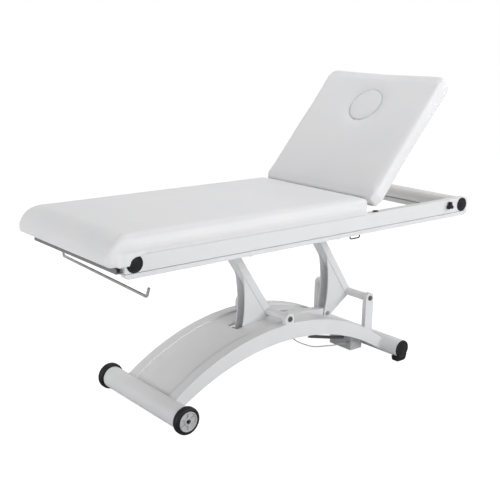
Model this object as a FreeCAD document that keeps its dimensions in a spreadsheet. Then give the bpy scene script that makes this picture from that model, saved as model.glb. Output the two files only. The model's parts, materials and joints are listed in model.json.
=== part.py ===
"""Electric facial treatment bed on an arched base, drawn as a parametric assembly in millimetres.

Frame: +X points to the head end, +Y away from the side with the clamp knob, +Z up. The origin lies
on the floor under the middle of the bed. "near" pieces have negative Y and "far" pieces positive Y.
"""
import FreeCAD, Part
import math
import os
import re
import Sketcher

doc = FreeCAD.newDocument("TreatmentBed")
Vector = FreeCAD.Vector

# ---------------------------------------------------------------- driving dimensions
SIZES = (
    # arched base
    ("crest_shift", 2.3, "distance of the crest from the middle of the base, towards the foot end"),
    ("crest_height", 265.0, "height of the top of the arch"),
    ("arch_top_end", 69.755, "height of the upper outline of the arch over the cross tubes"),
    ("arch_low_height", 198.0, "height of the underside at the crest"),
    ("arch_low_end", 12.403, "height of the lower outline of the arch at the cross tubes"),
    ("member_outer", 160.0, "half the width over both side members"),
    ("member_width", 45.0, "width of one side member"),
    ("member_wall", 3.0, "sheet thickness of the side members"),
    ("member_bite", 14.0, "how far a side member stops short of the axis of its cross tube"),
    ("deck_drop", 8.0, "depth of the deck below the tops of the side members"),
    ("deck_thick", 4.0, "thickness of the deck plate"),
    ("slot_half", 34.0, "half the width of the deck slot"),
    ("slot_past", 47.0, "length of the deck slot past the link pin of the front arm"),
    ("slot_short", 10.0, "distance of the head end of the deck slot from the base pivot of the rear arm"),
    # cross tubes, wheels and feet
    ("wheel_radius", 52.25, "rolling radius of a transport wheel, and height of its axle"),
    ("wheel_place", -583.0, "X of the wheel axle and of the front cross tube"),
    ("wheel_inner", 244.0, "Y of the inner face of a wheel"),
    ("wheel_width", 31.0, "width of a wheel"),
    ("hub_radius", 41.0, "radius of the wheel disc inside the tyre"),
    ("shoulder_radius", 11.0, "radius of the shoulders of the tyre"),
    ("bead_set", 1.0, "how much narrower a tyre is at its bead, on each side"),
    ("rim_width", 4.0, "width of the rim of a wheel disc"),
    ("boss_radius", 17.0, "radius of the boss of a wheel disc"),
    ("disc_draft", 2.0, "slope of the sides of the hollows in a wheel disc"),
    ("disc_hollow", 7.0, "depth of the hollow in the inner face of a wheel disc"),
    ("disc_dish", 2.0, "depth of the hollow in the outer face of a wheel disc"),
    ("axle_radius", 6.0, "radius of a wheel axle"),
    ("axle_plug", 8.0, "length of the axle plate inside the front cross tube"),
    ("collar_radius", 14.0, "radius of the collar between the front cross tube and a wheel"),
    ("axle_sink", 9.0, "depth of the seat of an axle head below the wheel face"),
    ("axle_head", 4.0, "thickness of the head of a wheel axle"),
    ("axle_head_radius", 9.0, "radius of the head of a wheel axle"),
    ("front_tube_radius", 43.0, "outer radius of the front cross tube"),
    ("front_tube_half", 241.0, "half the length of the front cross tube"),
    ("rear_tube_past", 115.6, "distance of the rear cross tube from the base pivot of the rear arm"),
    ("rear_tube_height", 55.5, "height of the axis of the rear cross tube"),
    ("rear_tube_radius", 39.0, "outer radius of the rear cross tube"),
    ("rear_tube_half", 257.0, "half the length of the rear cross tube"),
    ("tube_wall", 3.0, "wall of the cross tubes"),
    ("cap_lip", 5.0, "thickness of the flange of an end cap of the base"),
    ("cap_plug", 12.0, "length of an end cap inside its tube"),
    ("cap_bevel", 2.5, "bevel of an end cap"),
    ("foot_width", 66.0, "width of a rubber foot along the bed"),
    ("foot_depth", 30.0, "length of a rubber foot along its tube"),
    ("foot_wrap", 26.0, "height of the saddle sides of a rubber foot"),
    ("foot_flare", 4.0, "how much wider a rubber foot is at its top, on each side"),
    ("foot_corner", 16.0, "radius of the lower corners of a rubber foot"),
    # lifting linkage
    ("pivot_place", -4.0, "X of the base pivot of the front arm"),
    ("arm_spacing", 466.0, "distance from the front arm to the rear arm"),
    ("pivot_height", 286.0, "height of both base pivots"),
    ("ear_inner", 140.0, "Y of the inner faces of the pivot ears"),
    ("ear_thick", 20.0, "thickness of an ear"),
    ("ear_half", 23.0, "half the width of an ear, and the radius of its round end"),
    ("pivot_pin_radius", 10.0, "radius of the main pivot bolts"),
    ("bolt_head", 5.0, "thickness of the head and the nut of a pivot bolt"),
    ("bolt_lip", 1.0, "how far a bolt head reaches past its shank"),
    ("bolt_socket", 6.0, "radius of the hollow in the end of a pivot bolt"),
    ("bolt_hollow", 8.0, "depth of the hollow in the end of a pivot bolt"),
    ("bolt_bevel", 1.0, "bevel of a bolt head"),
    ("running_gap", 0.05, "radial clearance of a running fit"),
    ("open_gap", 0.4, "radial clearance at the pivots that close a loop"),
    ("side_gap", 0.5, "end clearance of a pivot tube between its ears"),
    ("arm_length", 377.7, "distance between the two main pivots of an arm"),
    ("arm_lean", 33.77, "lean of the arm from upright, in degrees"),
    ("pivot_tube_radius", 17.0, "outer radius of a pivot tube"),
    ("strut_width", 30.0, "width of the arm tube seen from the side"),
    ("strut_half", 28.0, "half the width of the arm tube across the bed"),
    ("strut_wall", 3.0, "wall of the arm tube"),
    ("web_inner", 20.0, "Y of the inner face of a web plate"),
    ("web_thick", 5.0, "thickness of a web plate"),
    ("web_under", 3.0, "how far the web plates reach below the lower pivot tube"),
    ("web_top", 225.0, "distance up the arm at which the web plates end"),
    ("web_bow", 520.0, "radius of the hollow front edge of a web plate"),
    ("link_reach", 121.0, "distance of the link pin in front of the arm pivot"),
    ("link_drop", 79.0, "distance of the link pin below the arm pivot"),
    ("link_tip_radius", 20.0, "radius of the tip of a web plate round the link pin"),
    ("link_tip_angle", -64.0, "angle at which the lower edge of a web plate leaves its tip, in degrees"),
    ("link_pin_radius", 8.0, "radius of a link pin"),
    ("pin_head", 5.0, "thickness of the head of a link pin"),
    ("pin_lip", 1.5, "how far the head of a link pin reaches past its shank"),
    ("tie_half", 19.0, "half the width of the tie bar"),
    ("tie_rise", 38.0, "height of the middle of the tie bar above its pins"),
    ("tie_end_rise", 18.0, "height of the ends of the tie bar above its pins"),
    ("tie_taper", 208.0, "length over which the tie bar narrows to each end"),
    ("tie_fall", 24.0, "depth of the tie bar below its pins"),
    ("tie_end", 17.0, "length of the tie bar past its pins"),
    ("tie_wall", 4.0, "sheet thickness of the tie bar"),
    ("tie_corner", 8.0, "radius of the lower corners of the tie bar"),
    # lifting actuator
    ("ram_side", 48.0, "Y of the axis of the lifting actuator"),
    ("ram_eye_half", 7.5, "half the thickness of an eye of the actuator"),
    ("ram_eye_radius", 13.0, "outer radius of an eye of the actuator"),
    ("ram_lug_thick", 4.0, "thickness of a lug of the actuator bracket"),
    ("ram_pin_radius", 6.0, "radius of the fixed pin of the actuator"),
    ("ram_pin_lip", 2.0, "how far the heads of the fixed pin reach past its shank"),
    ("ram_pin_head", 3.0, "thickness of the outer head of the fixed pin"),
    ("ram_pin_clip", 1.0, "thickness of the clip at the inner end of the fixed pin"),
    ("ram_gear_start", 16.0, "distance from the fixed pin to the gearbox"),
    ("ram_gear_length", 40.0, "length of the gearbox"),
    ("ram_gear_corner", 5.0, "radius of the corners of the gearbox"),
    ("ram_bore_end", 52.0, "distance from the fixed pin to the bottom of the bore of the actuator tube"),
    ("ram_tube_radius", 16.0, "outer radius of the actuator tube"),
    ("ram_tube_end", 150.0, "distance from the fixed pin to the mouth of the actuator tube"),
    ("ram_rod_radius", 8.0, "radius of the actuator rod"),
    ("ram_rod_gap", 0.5, "radial clearance of the actuator rod in its tube"),
    ("ram_rod_length", 122.0, "length of the actuator rod from its pin"),
    ("motor_radius", 19.0, "radius of the motor"),
    ("motor_drop", 41.0, "distance of the motor axis below the actuator axis"),
    ("motor_length", 100.0, "length of the motor"),
    # top frame
    ("frame_foot", -845.0, "X of the foot end of the side rails"),
    ("frame_head", 917.0, "X of the head end of the side rails"),
    ("rail_outer", 294.5, "Y of the outer face of a side rail"),
    ("rail_thick", 30.0, "width of a side rail"),
    ("rail_low", 644.0, "height of the underside of a side rail"),
    ("rail_top", 704.5, "height of the top of a side rail"),
    ("rail_wall", 3.0, "sheet thickness of a side rail"),
    ("rail_corner", 16.0, "radius of the corners at the ends of a side rail"),
    ("end_block", 75.0, "length of the solid block at each end of a side rail"),
    ("bar_low", 625.0, "height of the underside of the lower bars"),
    ("bar_set", 1.5, "set-back of the lower bars from the rail faces"),
    ("bar_wall", 2.5, "wall of the lower bars"),
    ("seam_height", 2.5, "height of the open seam between a side rail and its lower bar"),
    ("seam_depth", 8.0, "depth of that seam"),
    ("bar_corner", 15.0, "radius of the lower corners at the ends of the lower bars"),
    ("bar_block", 24.0, "length of the solid block at each end of a lower side bar"),
    ("end_bar_half", 15.0, "half the width of the lower bars across the ends"),
    ("cross_foot", -808.0, "X of the round cross tube at the foot end"),
    ("cross_head", 875.5, "X of the round cross tube at the head end"),
    ("cross_wall", 3.0, "wall of the round cross tubes of the top frame"),
    ("plug_thick", 5.0, "thickness of a plug outside its rail"),
    ("plug_bevel", 3.0, "bevel of a plug"),
    ("beam_thick", 14.0, "thickness of a flat beam"),
    ("beam_width", 60.0, "width of a flat beam"),
    ("beam_foot", -450.0, "X of the middle of the foot beam"),
    ("beam_middle", -110.0, "X of the middle of the middle beam"),
    ("beam_head", 210.0, "X of the middle of the head beam"),
    ("stringer_depth", 24.0, "depth of a stringer under the beams"),
    ("stringer_width", 30.0, "width of a stringer"),
    ("stringer_past", 30.0, "length of the stringers past the top pivot of the rear arm"),
    ("stringer_wall", 2.5, "wall of the stringers"),
    # upholstery
    ("board_thick", 12.0, "thickness of the plywood boards"),
    ("board_set", 2.5, "set-back of the boards from the outer faces of the rails"),
    ("pad_wrap", 18.0, "thickness of the cushions beside the boards"),
    ("pad_edge", 10.0, "radius of the cushion edges at the hinge"),
    ("pad_top", 767.0, "height of the top of the seat cushion"),
    ("nose_end", -917.0, "X of the foot end of the seat cushion"),
    ("nose_radius", 73.0, "upper radius of the rounded foot end"),
    ("nose_low_radius", 18.0, "lower radius of the rounded foot end"),
    ("nose_gap", 6.0, "gap between the wrapped cushion and the rail ends"),
    ("cheek_gap", 0.8, "gap between the outer face of a plug and the cheek of the cushion beside it"),
    ("cheek_clear", 4.75, "distance of the edge of a cheek from the rim of the plug beside it"),
    ("pad_corner", 18.0, "radius of the cushion corners seen from above"),
    ("back_length", 600.0, "distance from the hinge to the end of the backrest"),
    ("back_thick", 58.0, "thickness of the backrest"),
    ("back_wrap", 10.0, "thickness of the backrest cushion beyond the end of its board"),
    ("back_low_edge", 14.0, "radius of the lower edge at the end of the backrest"),
    ("back_high_edge", 22.0, "radius of the upper edge at the end of the backrest"),
    ("board_corner", 24.0, "radius of the corners of the board of the backrest"),
    ("back_angle", 49.36, "angle of the backrest above flat, in degrees"),
    ("hinge_place", 265.0, "X of the backrest hinge"),
    ("hinge_height", 758.0, "height of the backrest hinge"),
    ("hinge_gap", 6.0, "distance from the hinge axis to each cushion end"),
    ("face_place", 444.0, "distance from the hinge to the middle of the face hole"),
    ("face_radius", 80.0, "radius of the face hole"),
    ("face_gap", 0.5, "clearance round the plug of the face hole"),
    ("face_ledge", 14.0, "width of the ledge of the board under the plug"),
    ("face_rest", 0.3, "gap between the plug and the ledge that it rests on"),
    # backrest hinge and gas spring
    ("knuckle_radius", 5.5, "outer radius of a hinge knuckle"),
    ("hinge_pin_radius", 2.5, "radius of a hinge pin"),
    ("leaf_thick", 2.5, "thickness of a hinge leaf"),
    ("leaf_width", 60.0, "width of a hinge leaf"),
    ("leaf_side", 200.0, "Y of the middle of a hinge"),
    ("knuckle_gap", 0.3, "gap between the knuckles of the two leaves"),
    ("tab_extra", 0.4, "how much thicker a leaf is under its knuckles"),
    ("tab_rise", 1.0, "height of the thicker part of a leaf beside the hinge pin"),
    ("spring_reach", 140.0, "distance from the hinge to both ends of the gas spring"),
    ("spring_low_angle", 74.0, "angle of the lower end below flat, towards the foot, in degrees"),
    ("spring_high_angle", 40.0, "angle of the upper end below the plane of the backrest, in degrees"),
    ("spring_radius", 11.0, "outer radius of the gas spring"),
    ("spring_end", 140.0, "distance from the lower end to the mouth of the gas spring"),
    ("spring_floor", 5.0, "thickness of the closed end of the gas spring"),
    ("spring_rod_radius", 5.0, "radius of the rod of the gas spring"),
    ("spring_rod_gap", 0.3, "radial clearance of the rod of the gas spring"),
    ("spring_rod_length", 136.0, "length of the rod of the gas spring"),
    ("spring_eye_radius", 9.0, "radius of the eyes of the gas spring"),
    ("spring_eye_half", 12.0, "half the thickness of the eyes of the gas spring"),
    ("spring_pin_radius", 4.0, "radius of the pins of the gas spring"),
    ("spring_pin_head", 2.0, "thickness of the heads of the pins, and how far they reach past the shank"),
    ("spring_lug_wall", 3.0, "how far a lug reaches past the eye that it holds"),
    ("spring_lug_thick", 4.0, "thickness of a lug of the gas spring"),
    # small fittings
    ("bumper_place", 334.0, "X of the rubber buffers under the backrest"),
    ("bumper_length", 20.0, "length of a rubber buffer"),
    ("bumper_width", 16.0, "width of a rubber buffer"),
    ("bumper_height", 4.0, "height of a rubber buffer"),
    ("bumper_corner", 2.0, "radius of the corners of a rubber buffer"),
    ("knob_place", 785.0, "X of the clamp knob"),
    ("knob_height", 678.0, "height of the clamp knob"),
    ("knob_radius", 10.0, "radius of the middle of the clamp knob"),
    ("lobe_radius", 7.5, "radius of a lobe of the clamp knob"),
    ("lobe_place", 11.0, "distance of a lobe from the middle of the clamp knob"),
    ("knob_depth", 11.0, "depth of the clamp knob"),
    ("knob_stand", 4.0, "gap between the clamp knob and the rail"),
    ("stud_radius", 4.0, "radius of the stud of the clamp knob"),
    ("stud_reach", 14.0, "length of the stud past the sheet of the rail"),
    ("nut_radius", 10.0, "radius of the round nut of the clamp knob"),
    ("nut_depth", 10.0, "depth of the round nut of the clamp knob"),
    ("hook_place", 221.0, "X of the middle of the wire hook"),
    ("hook_span", 54.0, "distance between the legs of the wire hook"),
    ("hook_drop", 15.0, "depth of the wire hook below the rail"),
    ("hook_radius", 2.5, "radius of the wire of the hook"),
    ("hook_bend", 8.0, "bend radius of the wire of the hook"),
    ("roll_place", -762.0, "X of the paper roll rod"),
    ("roll_height", 573.0, "height of the paper roll rod at its far end"),
    ("roll_fall", 18.0, "how much lower the near end of the paper roll rod lies"),
    ("roll_short", 2.5, "distance of the upturned end of the paper roll rod inside the near rail face"),
    ("roll_radius", 5.0, "radius of the paper roll rod"),
    ("roll_bend", 14.0, "bend radius of the paper roll rod"),
    ("roll_hook", 33.0, "height of the upturned end of the paper roll rod"),
    ("roll_slant", 13.0, "how far the upturned end of the paper roll rod leans out"),
    ("roll_head", 5.0, "height of the head that carries the paper roll rod"),
    ("roll_head_lip", 2.0, "how far that head reaches past the rod"),
    ("roll_head_gap", 0.5, "gap under that head"),
    ("socket_length", 25.0, "length of the socket of the paper roll rod"),
    ("socket_wall", 4.0, "wall of the socket of the paper roll rod"),
    ("box_place", 101.6, "distance of the head side of the control box from the rear cross tube"),
    ("box_length", 72.0, "length of the control box along the bed"),
    ("box_far", 18.0, "Y of the far side of the control box"),
    ("box_low", 43.0, "height of the underside of the control box"),
    ("box_top", 112.0, "height of the top of the control box"),
    ("box_corner", 6.0, "radius of the corners of the control box"),
    ("lead_radius", 2.5, "radius of the control lead"),
    ("gland_radius", 5.5, "radius of the gland of the control lead"),
    ("clip_length", 14.0, "length of the clip of the control lead"),
    ("clip_height", 18.0, "height of the clip of the control lead"),
    ("clip_drop", 6.0, "how far the clip reaches below the middle of the control lead"),
    ("clip_lap", 5.0, "how far the clip reaches past the middle of the control lead"),
    # construction
    ("lap", 2.0, "overlap of shapes that are fused, and how far a cut starts outside"),
)

# What follows from the driving dimensions, and is used in several places.
DERIVED = (
    ("rear_pivot_place", "pivot_place + arm_spacing", "X of the base pivot of the rear arm"),
    ("rear_tube_place", "rear_pivot_place + rear_tube_past", "X of the rear cross tube"),
    ("crest_place", "(wheel_place + rear_tube_place) / 2 - crest_shift", "X of the top of the arch"),
    ("half_span", "(rear_tube_place - wheel_place) / 2", "half the distance between the cross tubes"),
    ("top_rise", "crest_height - arch_top_end", "rise of the upper outline of the arch"),
    ("low_rise", "arch_low_height - arch_low_end", "rise of the lower outline of the arch"),
    ("arch_top_radius", "(half_span ^ 2 + top_rise ^ 2) / (2 * top_rise)",
     "radius of the upper outline of the arch"),
    ("arch_low_radius", "(half_span ^ 2 + low_rise ^ 2) / (2 * low_rise)",
     "radius of the lower outline of the arch"),
    ("slot_front", "pivot_place - link_reach - slot_past", "X of the foot end of the deck slot"),
    ("slot_rear", "rear_pivot_place - slot_short", "X of the head end of the deck slot"),
    ("stringer_foot", "beam_foot - beam_width / 2", "X of the foot end of the stringers"),
    ("stringer_head", "rear_pivot_place - arm_length * sin(arm_lean) + stringer_past",
     "X of the head end of the stringers"),
    ("board_half", "rail_outer - board_set", "half the width of the boards"),
    ("pad_half", "board_half + pad_wrap", "half the width of the cushions"),
    ("nose_low", "pad_top - nose_radius - nose_low_radius", "height of the underside of the foot end"),
    ("roll_leg", "rail_outer - rail_thick / 2", "Y of the upright leg of the paper roll rod"),
    ("roll_near", "roll_short - rail_outer", "Y of the upturned end of the paper roll rod"),
    ("box_head", "rear_tube_place - box_place", "X of the head side of the control box"),
    ("box_foot", "box_head - box_length", "X of the foot side of the control box"),
)

sheet = doc.addObject("Spreadsheet::Sheet", "Sizes")
for row, (alias, number, meaning) in enumerate(SIZES + DERIVED, start=1):
    sheet.set("A%d" % row, alias)
    sheet.set("B%d" % row, "=%s" % number)
    sheet.set("C%d" % row, meaning)
    sheet.setAlias("B%d" % row, alias)
doc.recompute()

NAMES = {alias for alias, number, meaning in SIZES + DERIVED}
WORD = re.compile(r"[A-Za-z_]+")
NODES = []


# ---------------------------------------------------------------- expressions and placing
def formula(text):
    """The same expression with each size name pointing at the sheet."""
    return WORD.sub(lambda word: ("Sizes." if word.group(0) in NAMES else "") + word.group(0), str(text))


def value(text):
    """The number that an expression gives now."""
    result = sheet.evalExpression(formula(text))
    return float(getattr(result, "Value", result))


def bind(item, path, text):
    item.setExpression(path, formula(text))


def move(item, x=0, y=0, z=0):
    """Ties the place of a piece to the sheet."""
    for axis, text in (("x", x), ("y", y), ("z", z)):
        bind(item, "Placement.Base." + axis, text)
    return item


def tilt(item, degrees_text):
    """Turns a piece about Y so that its own +X end rises by this angle."""
    item.Placement = FreeCAD.Placement(item.Placement.Base, FreeCAD.Rotation(Vector(0, -1, 0), 10))
    bind(item, "Placement.Rotation.Angle", degrees_text)
    return item


def node(label, item):
    """Marks a finished sub-part, and gives it the name of its file."""
    item.Label = label
    NODES.append(item)
    return item


# ---------------------------------------------------------------- sketches and features
NEAR = 0.01    # difference below which two lengths count as the same


def new_body(name):
    return doc.addObject("PartDesign::Body", name)


def origin_plane(body, role):
    return [item for item in body.Origin.OriginFeatures if item.Role == role][0]


def blank_sketch(body, role, shift):
    sketch = body.newObject("Sketcher::SketchObject", "Sketch")
    sketch.AttachmentSupport = [(origin_plane(body, role), "")]
    sketch.MapMode = "FlatFace"
    bind(sketch, ".AttachmentOffset.Base.z", shift)
    return sketch


def pin_point(sketch, element, position, x=None, y=None):
    """Ties one point of the sketch to the sheet, in one or both directions."""
    for kind, text in (("DistanceX", x), ("DistanceY", y)):
        if text is not None:
            place = sketch.addConstraint(Sketcher.Constraint(kind, -1, 1, element, position, value(text)))
            bind(sketch, "Constraints[%d]" % place, text)


def draw_outline(sketch, points):
    """Draws a closed outline. A point is (x, y); where an arc leaves it, (x, y, centre x, centre y, turn)."""
    spots = [Vector(value(point[0]), value(point[1]), 0) for point in points]
    heads = []
    for place, point in enumerate(points):
        start = spots[place]
        end = spots[(place + 1) % len(points)]
        if len(point) == 2:
            sketch.addGeometry(Part.LineSegment(start, end), False)
            heads.append(1)
            continue
        centre = Vector(value(point[2]), value(point[3]), 0)
        left, right = (start, end) if point[4] == "left" else (end, start)
        first = math.atan2(left.y - centre.y, left.x - centre.x)
        last = math.atan2(right.y - centre.y, right.x - centre.x)
        circle = Part.Circle(centre, Vector(0, 0, 1), (start - centre).Length)
        last += 2 * math.pi if last <= first else 0
        sketch.addGeometry(Part.ArcOfCircle(circle, first, last), False)
        heads.append(1 if point[4] == "left" else 2)
    for place, point in enumerate(points):
        before = (place - 1) % len(points)
        tail = 3 - heads[before]
        sketch.addConstraint(Sketcher.Constraint("Coincident", before, tail, place, heads[place]))
        if len(points[before]) == 2:
            pin_point(sketch, place, heads[place], point[0], point[1])
        else:
            centre = Vector(value(points[before][2]), value(points[before][3]), 0)
            offset = spots[place] - centre
            steep = abs(offset.y) >= abs(offset.x)
            pin_point(sketch, place, heads[place], point[0] if steep else None, None if steep else point[1])
        if len(point) > 2:
            pin_point(sketch, place, 3, point[2], point[3])


def draw_circle(sketch, x, y, radius):
    circle = Part.Circle(Vector(value(x), value(y), 0), Vector(0, 0, 1), value(radius))
    place = sketch.addGeometry(circle, False)
    pin_point(sketch, place, 3, x, y)
    size = sketch.addConstraint(Sketcher.Constraint("Radius", place, value(radius)))
    bind(sketch, "Constraints[%d]" % size, radius)


def span(role, low, high):
    """Sketch shift and depth that fill a plane's normal from low to high. The XZ plane faces -Y."""
    shift = "-(%s)" % high if role == "XZ_Plane" else low
    return shift, "(%s) - (%s)" % (high, low)


def pad(body, role, low, high, points=(), circles=()):
    """Solid with this outline (and round holes or discs) from low to high."""
    shift, depth = span(role, low, high)
    sketch = blank_sketch(body, role, shift)
    if points:
        draw_outline(sketch, points)
    for circle in circles:
        draw_circle(sketch, *circle)
    feature = body.newObject("PartDesign::Pad", "Pad")
    feature.Profile = sketch
    bind(feature, "Length", depth)
    sketch.Visibility = False
    return feature


def pocket(body, role, low, high, points=(), circles=()):
    """Cuts this outline or these circles out of the body from low to high."""
    doc.recompute()
    before = body.Shape.Volume
    shift, depth = span(role, low, high)
    sketch = blank_sketch(body, role, shift)
    if points:
        draw_outline(sketch, points)
    for circle in circles:
        draw_circle(sketch, *circle)
    feature = body.newObject("PartDesign::Pocket", "Pocket")
    feature.Profile = sketch
    feature.Reversed = True
    bind(feature, "Length", depth)
    doc.recompute()
    if not body.Shape.Volume < before:
        raise ValueError("a pocket of %s cuts nothing" % body.Name)
    return feature


def plate(name, role, low, high, points, circles=()):
    body = new_body(name)
    pad(body, role, low, high, points, circles)
    return body


def turned(name, points, x, y, z):
    """Solid of revolution about a line along Y through (x, z). Points are (distance along Y, radius)."""
    body = new_body(name)
    sketch = blank_sketch(body, "YZ_Plane", "0")
    draw_outline(sketch, points)
    feature = body.newObject("PartDesign::Revolution", "Revolution")
    feature.Profile = sketch
    feature.ReferenceAxis = (sketch, ["H_Axis"])
    feature.Angle = 360
    return move(body, x, y, z)


def ring(low, high, inner, outer):
    """Outline of a plain tube for turned()."""
    return [(low, inner), (high, inner), (high, outer), (low, outer)]


def rectangle(left, right, low, high):
    return [(left, low), (right, low), (right, high), (left, high)]


def cylinder(name, radius, length, x, y, z, axis="Y"):
    item = doc.addObject("Part::Cylinder", name)
    if axis == "Y":
        item.Placement.Rotation = FreeCAD.Rotation(Vector(1, 0, 0), -90)
    if axis == "X":
        item.Placement.Rotation = FreeCAD.Rotation(Vector(0, 1, 0), 90)
    bind(item, "Radius", radius)
    bind(item, "Height", length)
    return move(item, x, y, z)


def block(name, x, y, z, length, width, height):
    item = doc.addObject("Part::Box", name)
    bind(item, "Length", length)
    bind(item, "Width", width)
    bind(item, "Height", height)
    return move(item, x, y, z)


def fuse(name, *items):
    item = doc.addObject("Part::MultiFuse", name)
    item.Shapes = list(items)
    item.Refine = True
    return item


def cut(name, base, tool):
    item = doc.addObject("Part::Cut", name)
    item.Base = base
    item.Tool = tool
    return item


def group(name, *items):
    """Several separate solids that share one node."""
    item = doc.addObject("Part::Compound", name)
    item.Links = list(items)
    return item


def round_edges(body, radius, chosen):
    """Rounds the edges of the body that the test picks."""
    doc.recompute()
    base = body.Tip
    edges = ["Edge%d" % (place + 1) for place, edge in enumerate(base.Shape.Edges) if chosen(edge)]
    if not edges:
        raise ValueError("no edge of %s is chosen" % body.Name)
    feature = body.newObject("PartDesign::Fillet", "Fillet")
    feature.Base = (base, edges)
    bind(feature, "Radius", radius)
    base.Visibility = False
    doc.recompute()
    return feature


def bent_rod(name, corners, radius, bend):
    """Round rod along straight runs joined by tangent bends, from values read from the sheet."""
    edges = []
    start = corners[0]
    for before, corner, after in zip(corners, corners[1:], corners[2:]):
        way_in = (corner - before).normalize()
        way_out = (after - corner).normalize()
        half_turn = way_in.getAngle(way_out) / 2
        setback = bend(corner) * math.tan(half_turn)
        first = corner - way_in * setback
        last = corner + way_out * setback
        inward = (way_out - way_in).normalize()
        middle = corner + inward * (bend(corner) / math.cos(half_turn) - bend(corner))
        edges.append(Part.LineSegment(start, first).toShape())
        edges.append(Part.Arc(first, middle, last).toShape())
        start = last
    edges.append(Part.LineSegment(start, corners[-1]).toShape())
    path = Part.Wire(edges)
    circle = Part.Wire(Part.Circle(corners[0], corners[1] - corners[0], radius).toShape())
    item = doc.addObject("Part::Feature", name)
    item.Shape = path.makePipeShell([circle], True, False)
    return item


SIDES = (("near", -1), ("far", 1))


def side_span(sign, inner, outer):
    """The two Y limits of a piece of the near side (-1) or the far side (1), lowest first."""
    return (inner, outer) if sign > 0 else ("-(%s)" % outer, "-(%s)" % inner)


# ---------------------------------------------------------------- arched base
TOP_CENTRE = ("crest_place", "crest_height - arch_top_radius")
LOW_CENTRE = ("crest_place", "arch_low_height - arch_low_radius")
ARCH_FOOT = "wheel_place + member_bite"
ARCH_HEAD = "rear_tube_place - member_bite"


def arch_height(x, crest, radius):
    """Height at x of an arc with this crest and radius, both centred over crest_place."""
    return "%s - (%s) + sqrt((%s)^2 - (%s - crest_place)^2)" % (crest, radius, radius, x)


def arch_band(top_crest, top_radius, low_crest, low_radius, foot=ARCH_FOOT, head=ARCH_HEAD):
    """Outline of a band between two arcs."""
    return [
        (foot, arch_height(foot, low_crest, low_radius)),
        (foot, arch_height(foot, top_crest, top_radius),
         "crest_place", "%s - (%s)" % (top_crest, top_radius), "right"),
        (head, arch_height(head, top_crest, top_radius)),
        (head, arch_height(head, low_crest, low_radius),
         "crest_place", "%s - (%s)" % (low_crest, low_radius), "left"),
    ]


TUBE_ENDS = (("wheel_place", "wheel_radius", "front_tube_radius"),
             ("rear_tube_place", "rear_tube_height", "rear_tube_radius"))

for side, sign in SIDES:
    low, high = side_span(sign, "member_outer - member_width", "member_outer")
    member = plate("SideMember", "XZ_Plane", low, high,
                   arch_band("crest_height", "arch_top_radius", "arch_low_height", "arch_low_radius"))
    for place, height, radius in TUBE_ENDS:
        pocket(member, "XZ_Plane", low, high, circles=[(place, height, radius)])
    low, high = side_span(sign, "member_outer - member_width + member_wall", "member_outer - member_wall")
    pocket(member, "XZ_Plane", low, high,
           arch_band("crest_height - member_wall", "arch_top_radius - member_wall",
                     "arch_low_height + member_wall", "arch_low_radius + member_wall"))
    node("side_member_" + side, member)

deck_edge = "member_outer - member_width"
deck = plate("Deck", "XZ_Plane", "-(%s)" % deck_edge, deck_edge,
             arch_band("crest_height - deck_drop", "arch_top_radius - deck_drop",
                       "crest_height - deck_drop - deck_thick", "arch_top_radius - deck_drop - deck_thick"))
for place, height, radius in TUBE_ENDS:
    pocket(deck, "XZ_Plane", "-(%s)" % deck_edge, deck_edge, circles=[(place, height, radius)])
pocket(deck, "XY_Plane", "0", "crest_height", rectangle("slot_front", "slot_rear", "-slot_half", "slot_half"))
node("deck_plate", deck)

node("front_cross_tube", turned(
    "FrontTube",
    ring("-front_tube_half", "front_tube_half", "front_tube_radius - tube_wall", "front_tube_radius"),
    "wheel_place", "0", "wheel_radius"))
node("rear_cross_tube", turned(
    "RearTube", ring("-rear_tube_half", "rear_tube_half", "rear_tube_radius - tube_wall", "rear_tube_radius"),
    "rear_tube_place", "0", "rear_tube_height"))


def outward(sign, text):
    """A distance along Y counted away from the middle of the bed."""
    return text if sign > 0 else "-(%s)" % text


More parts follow.
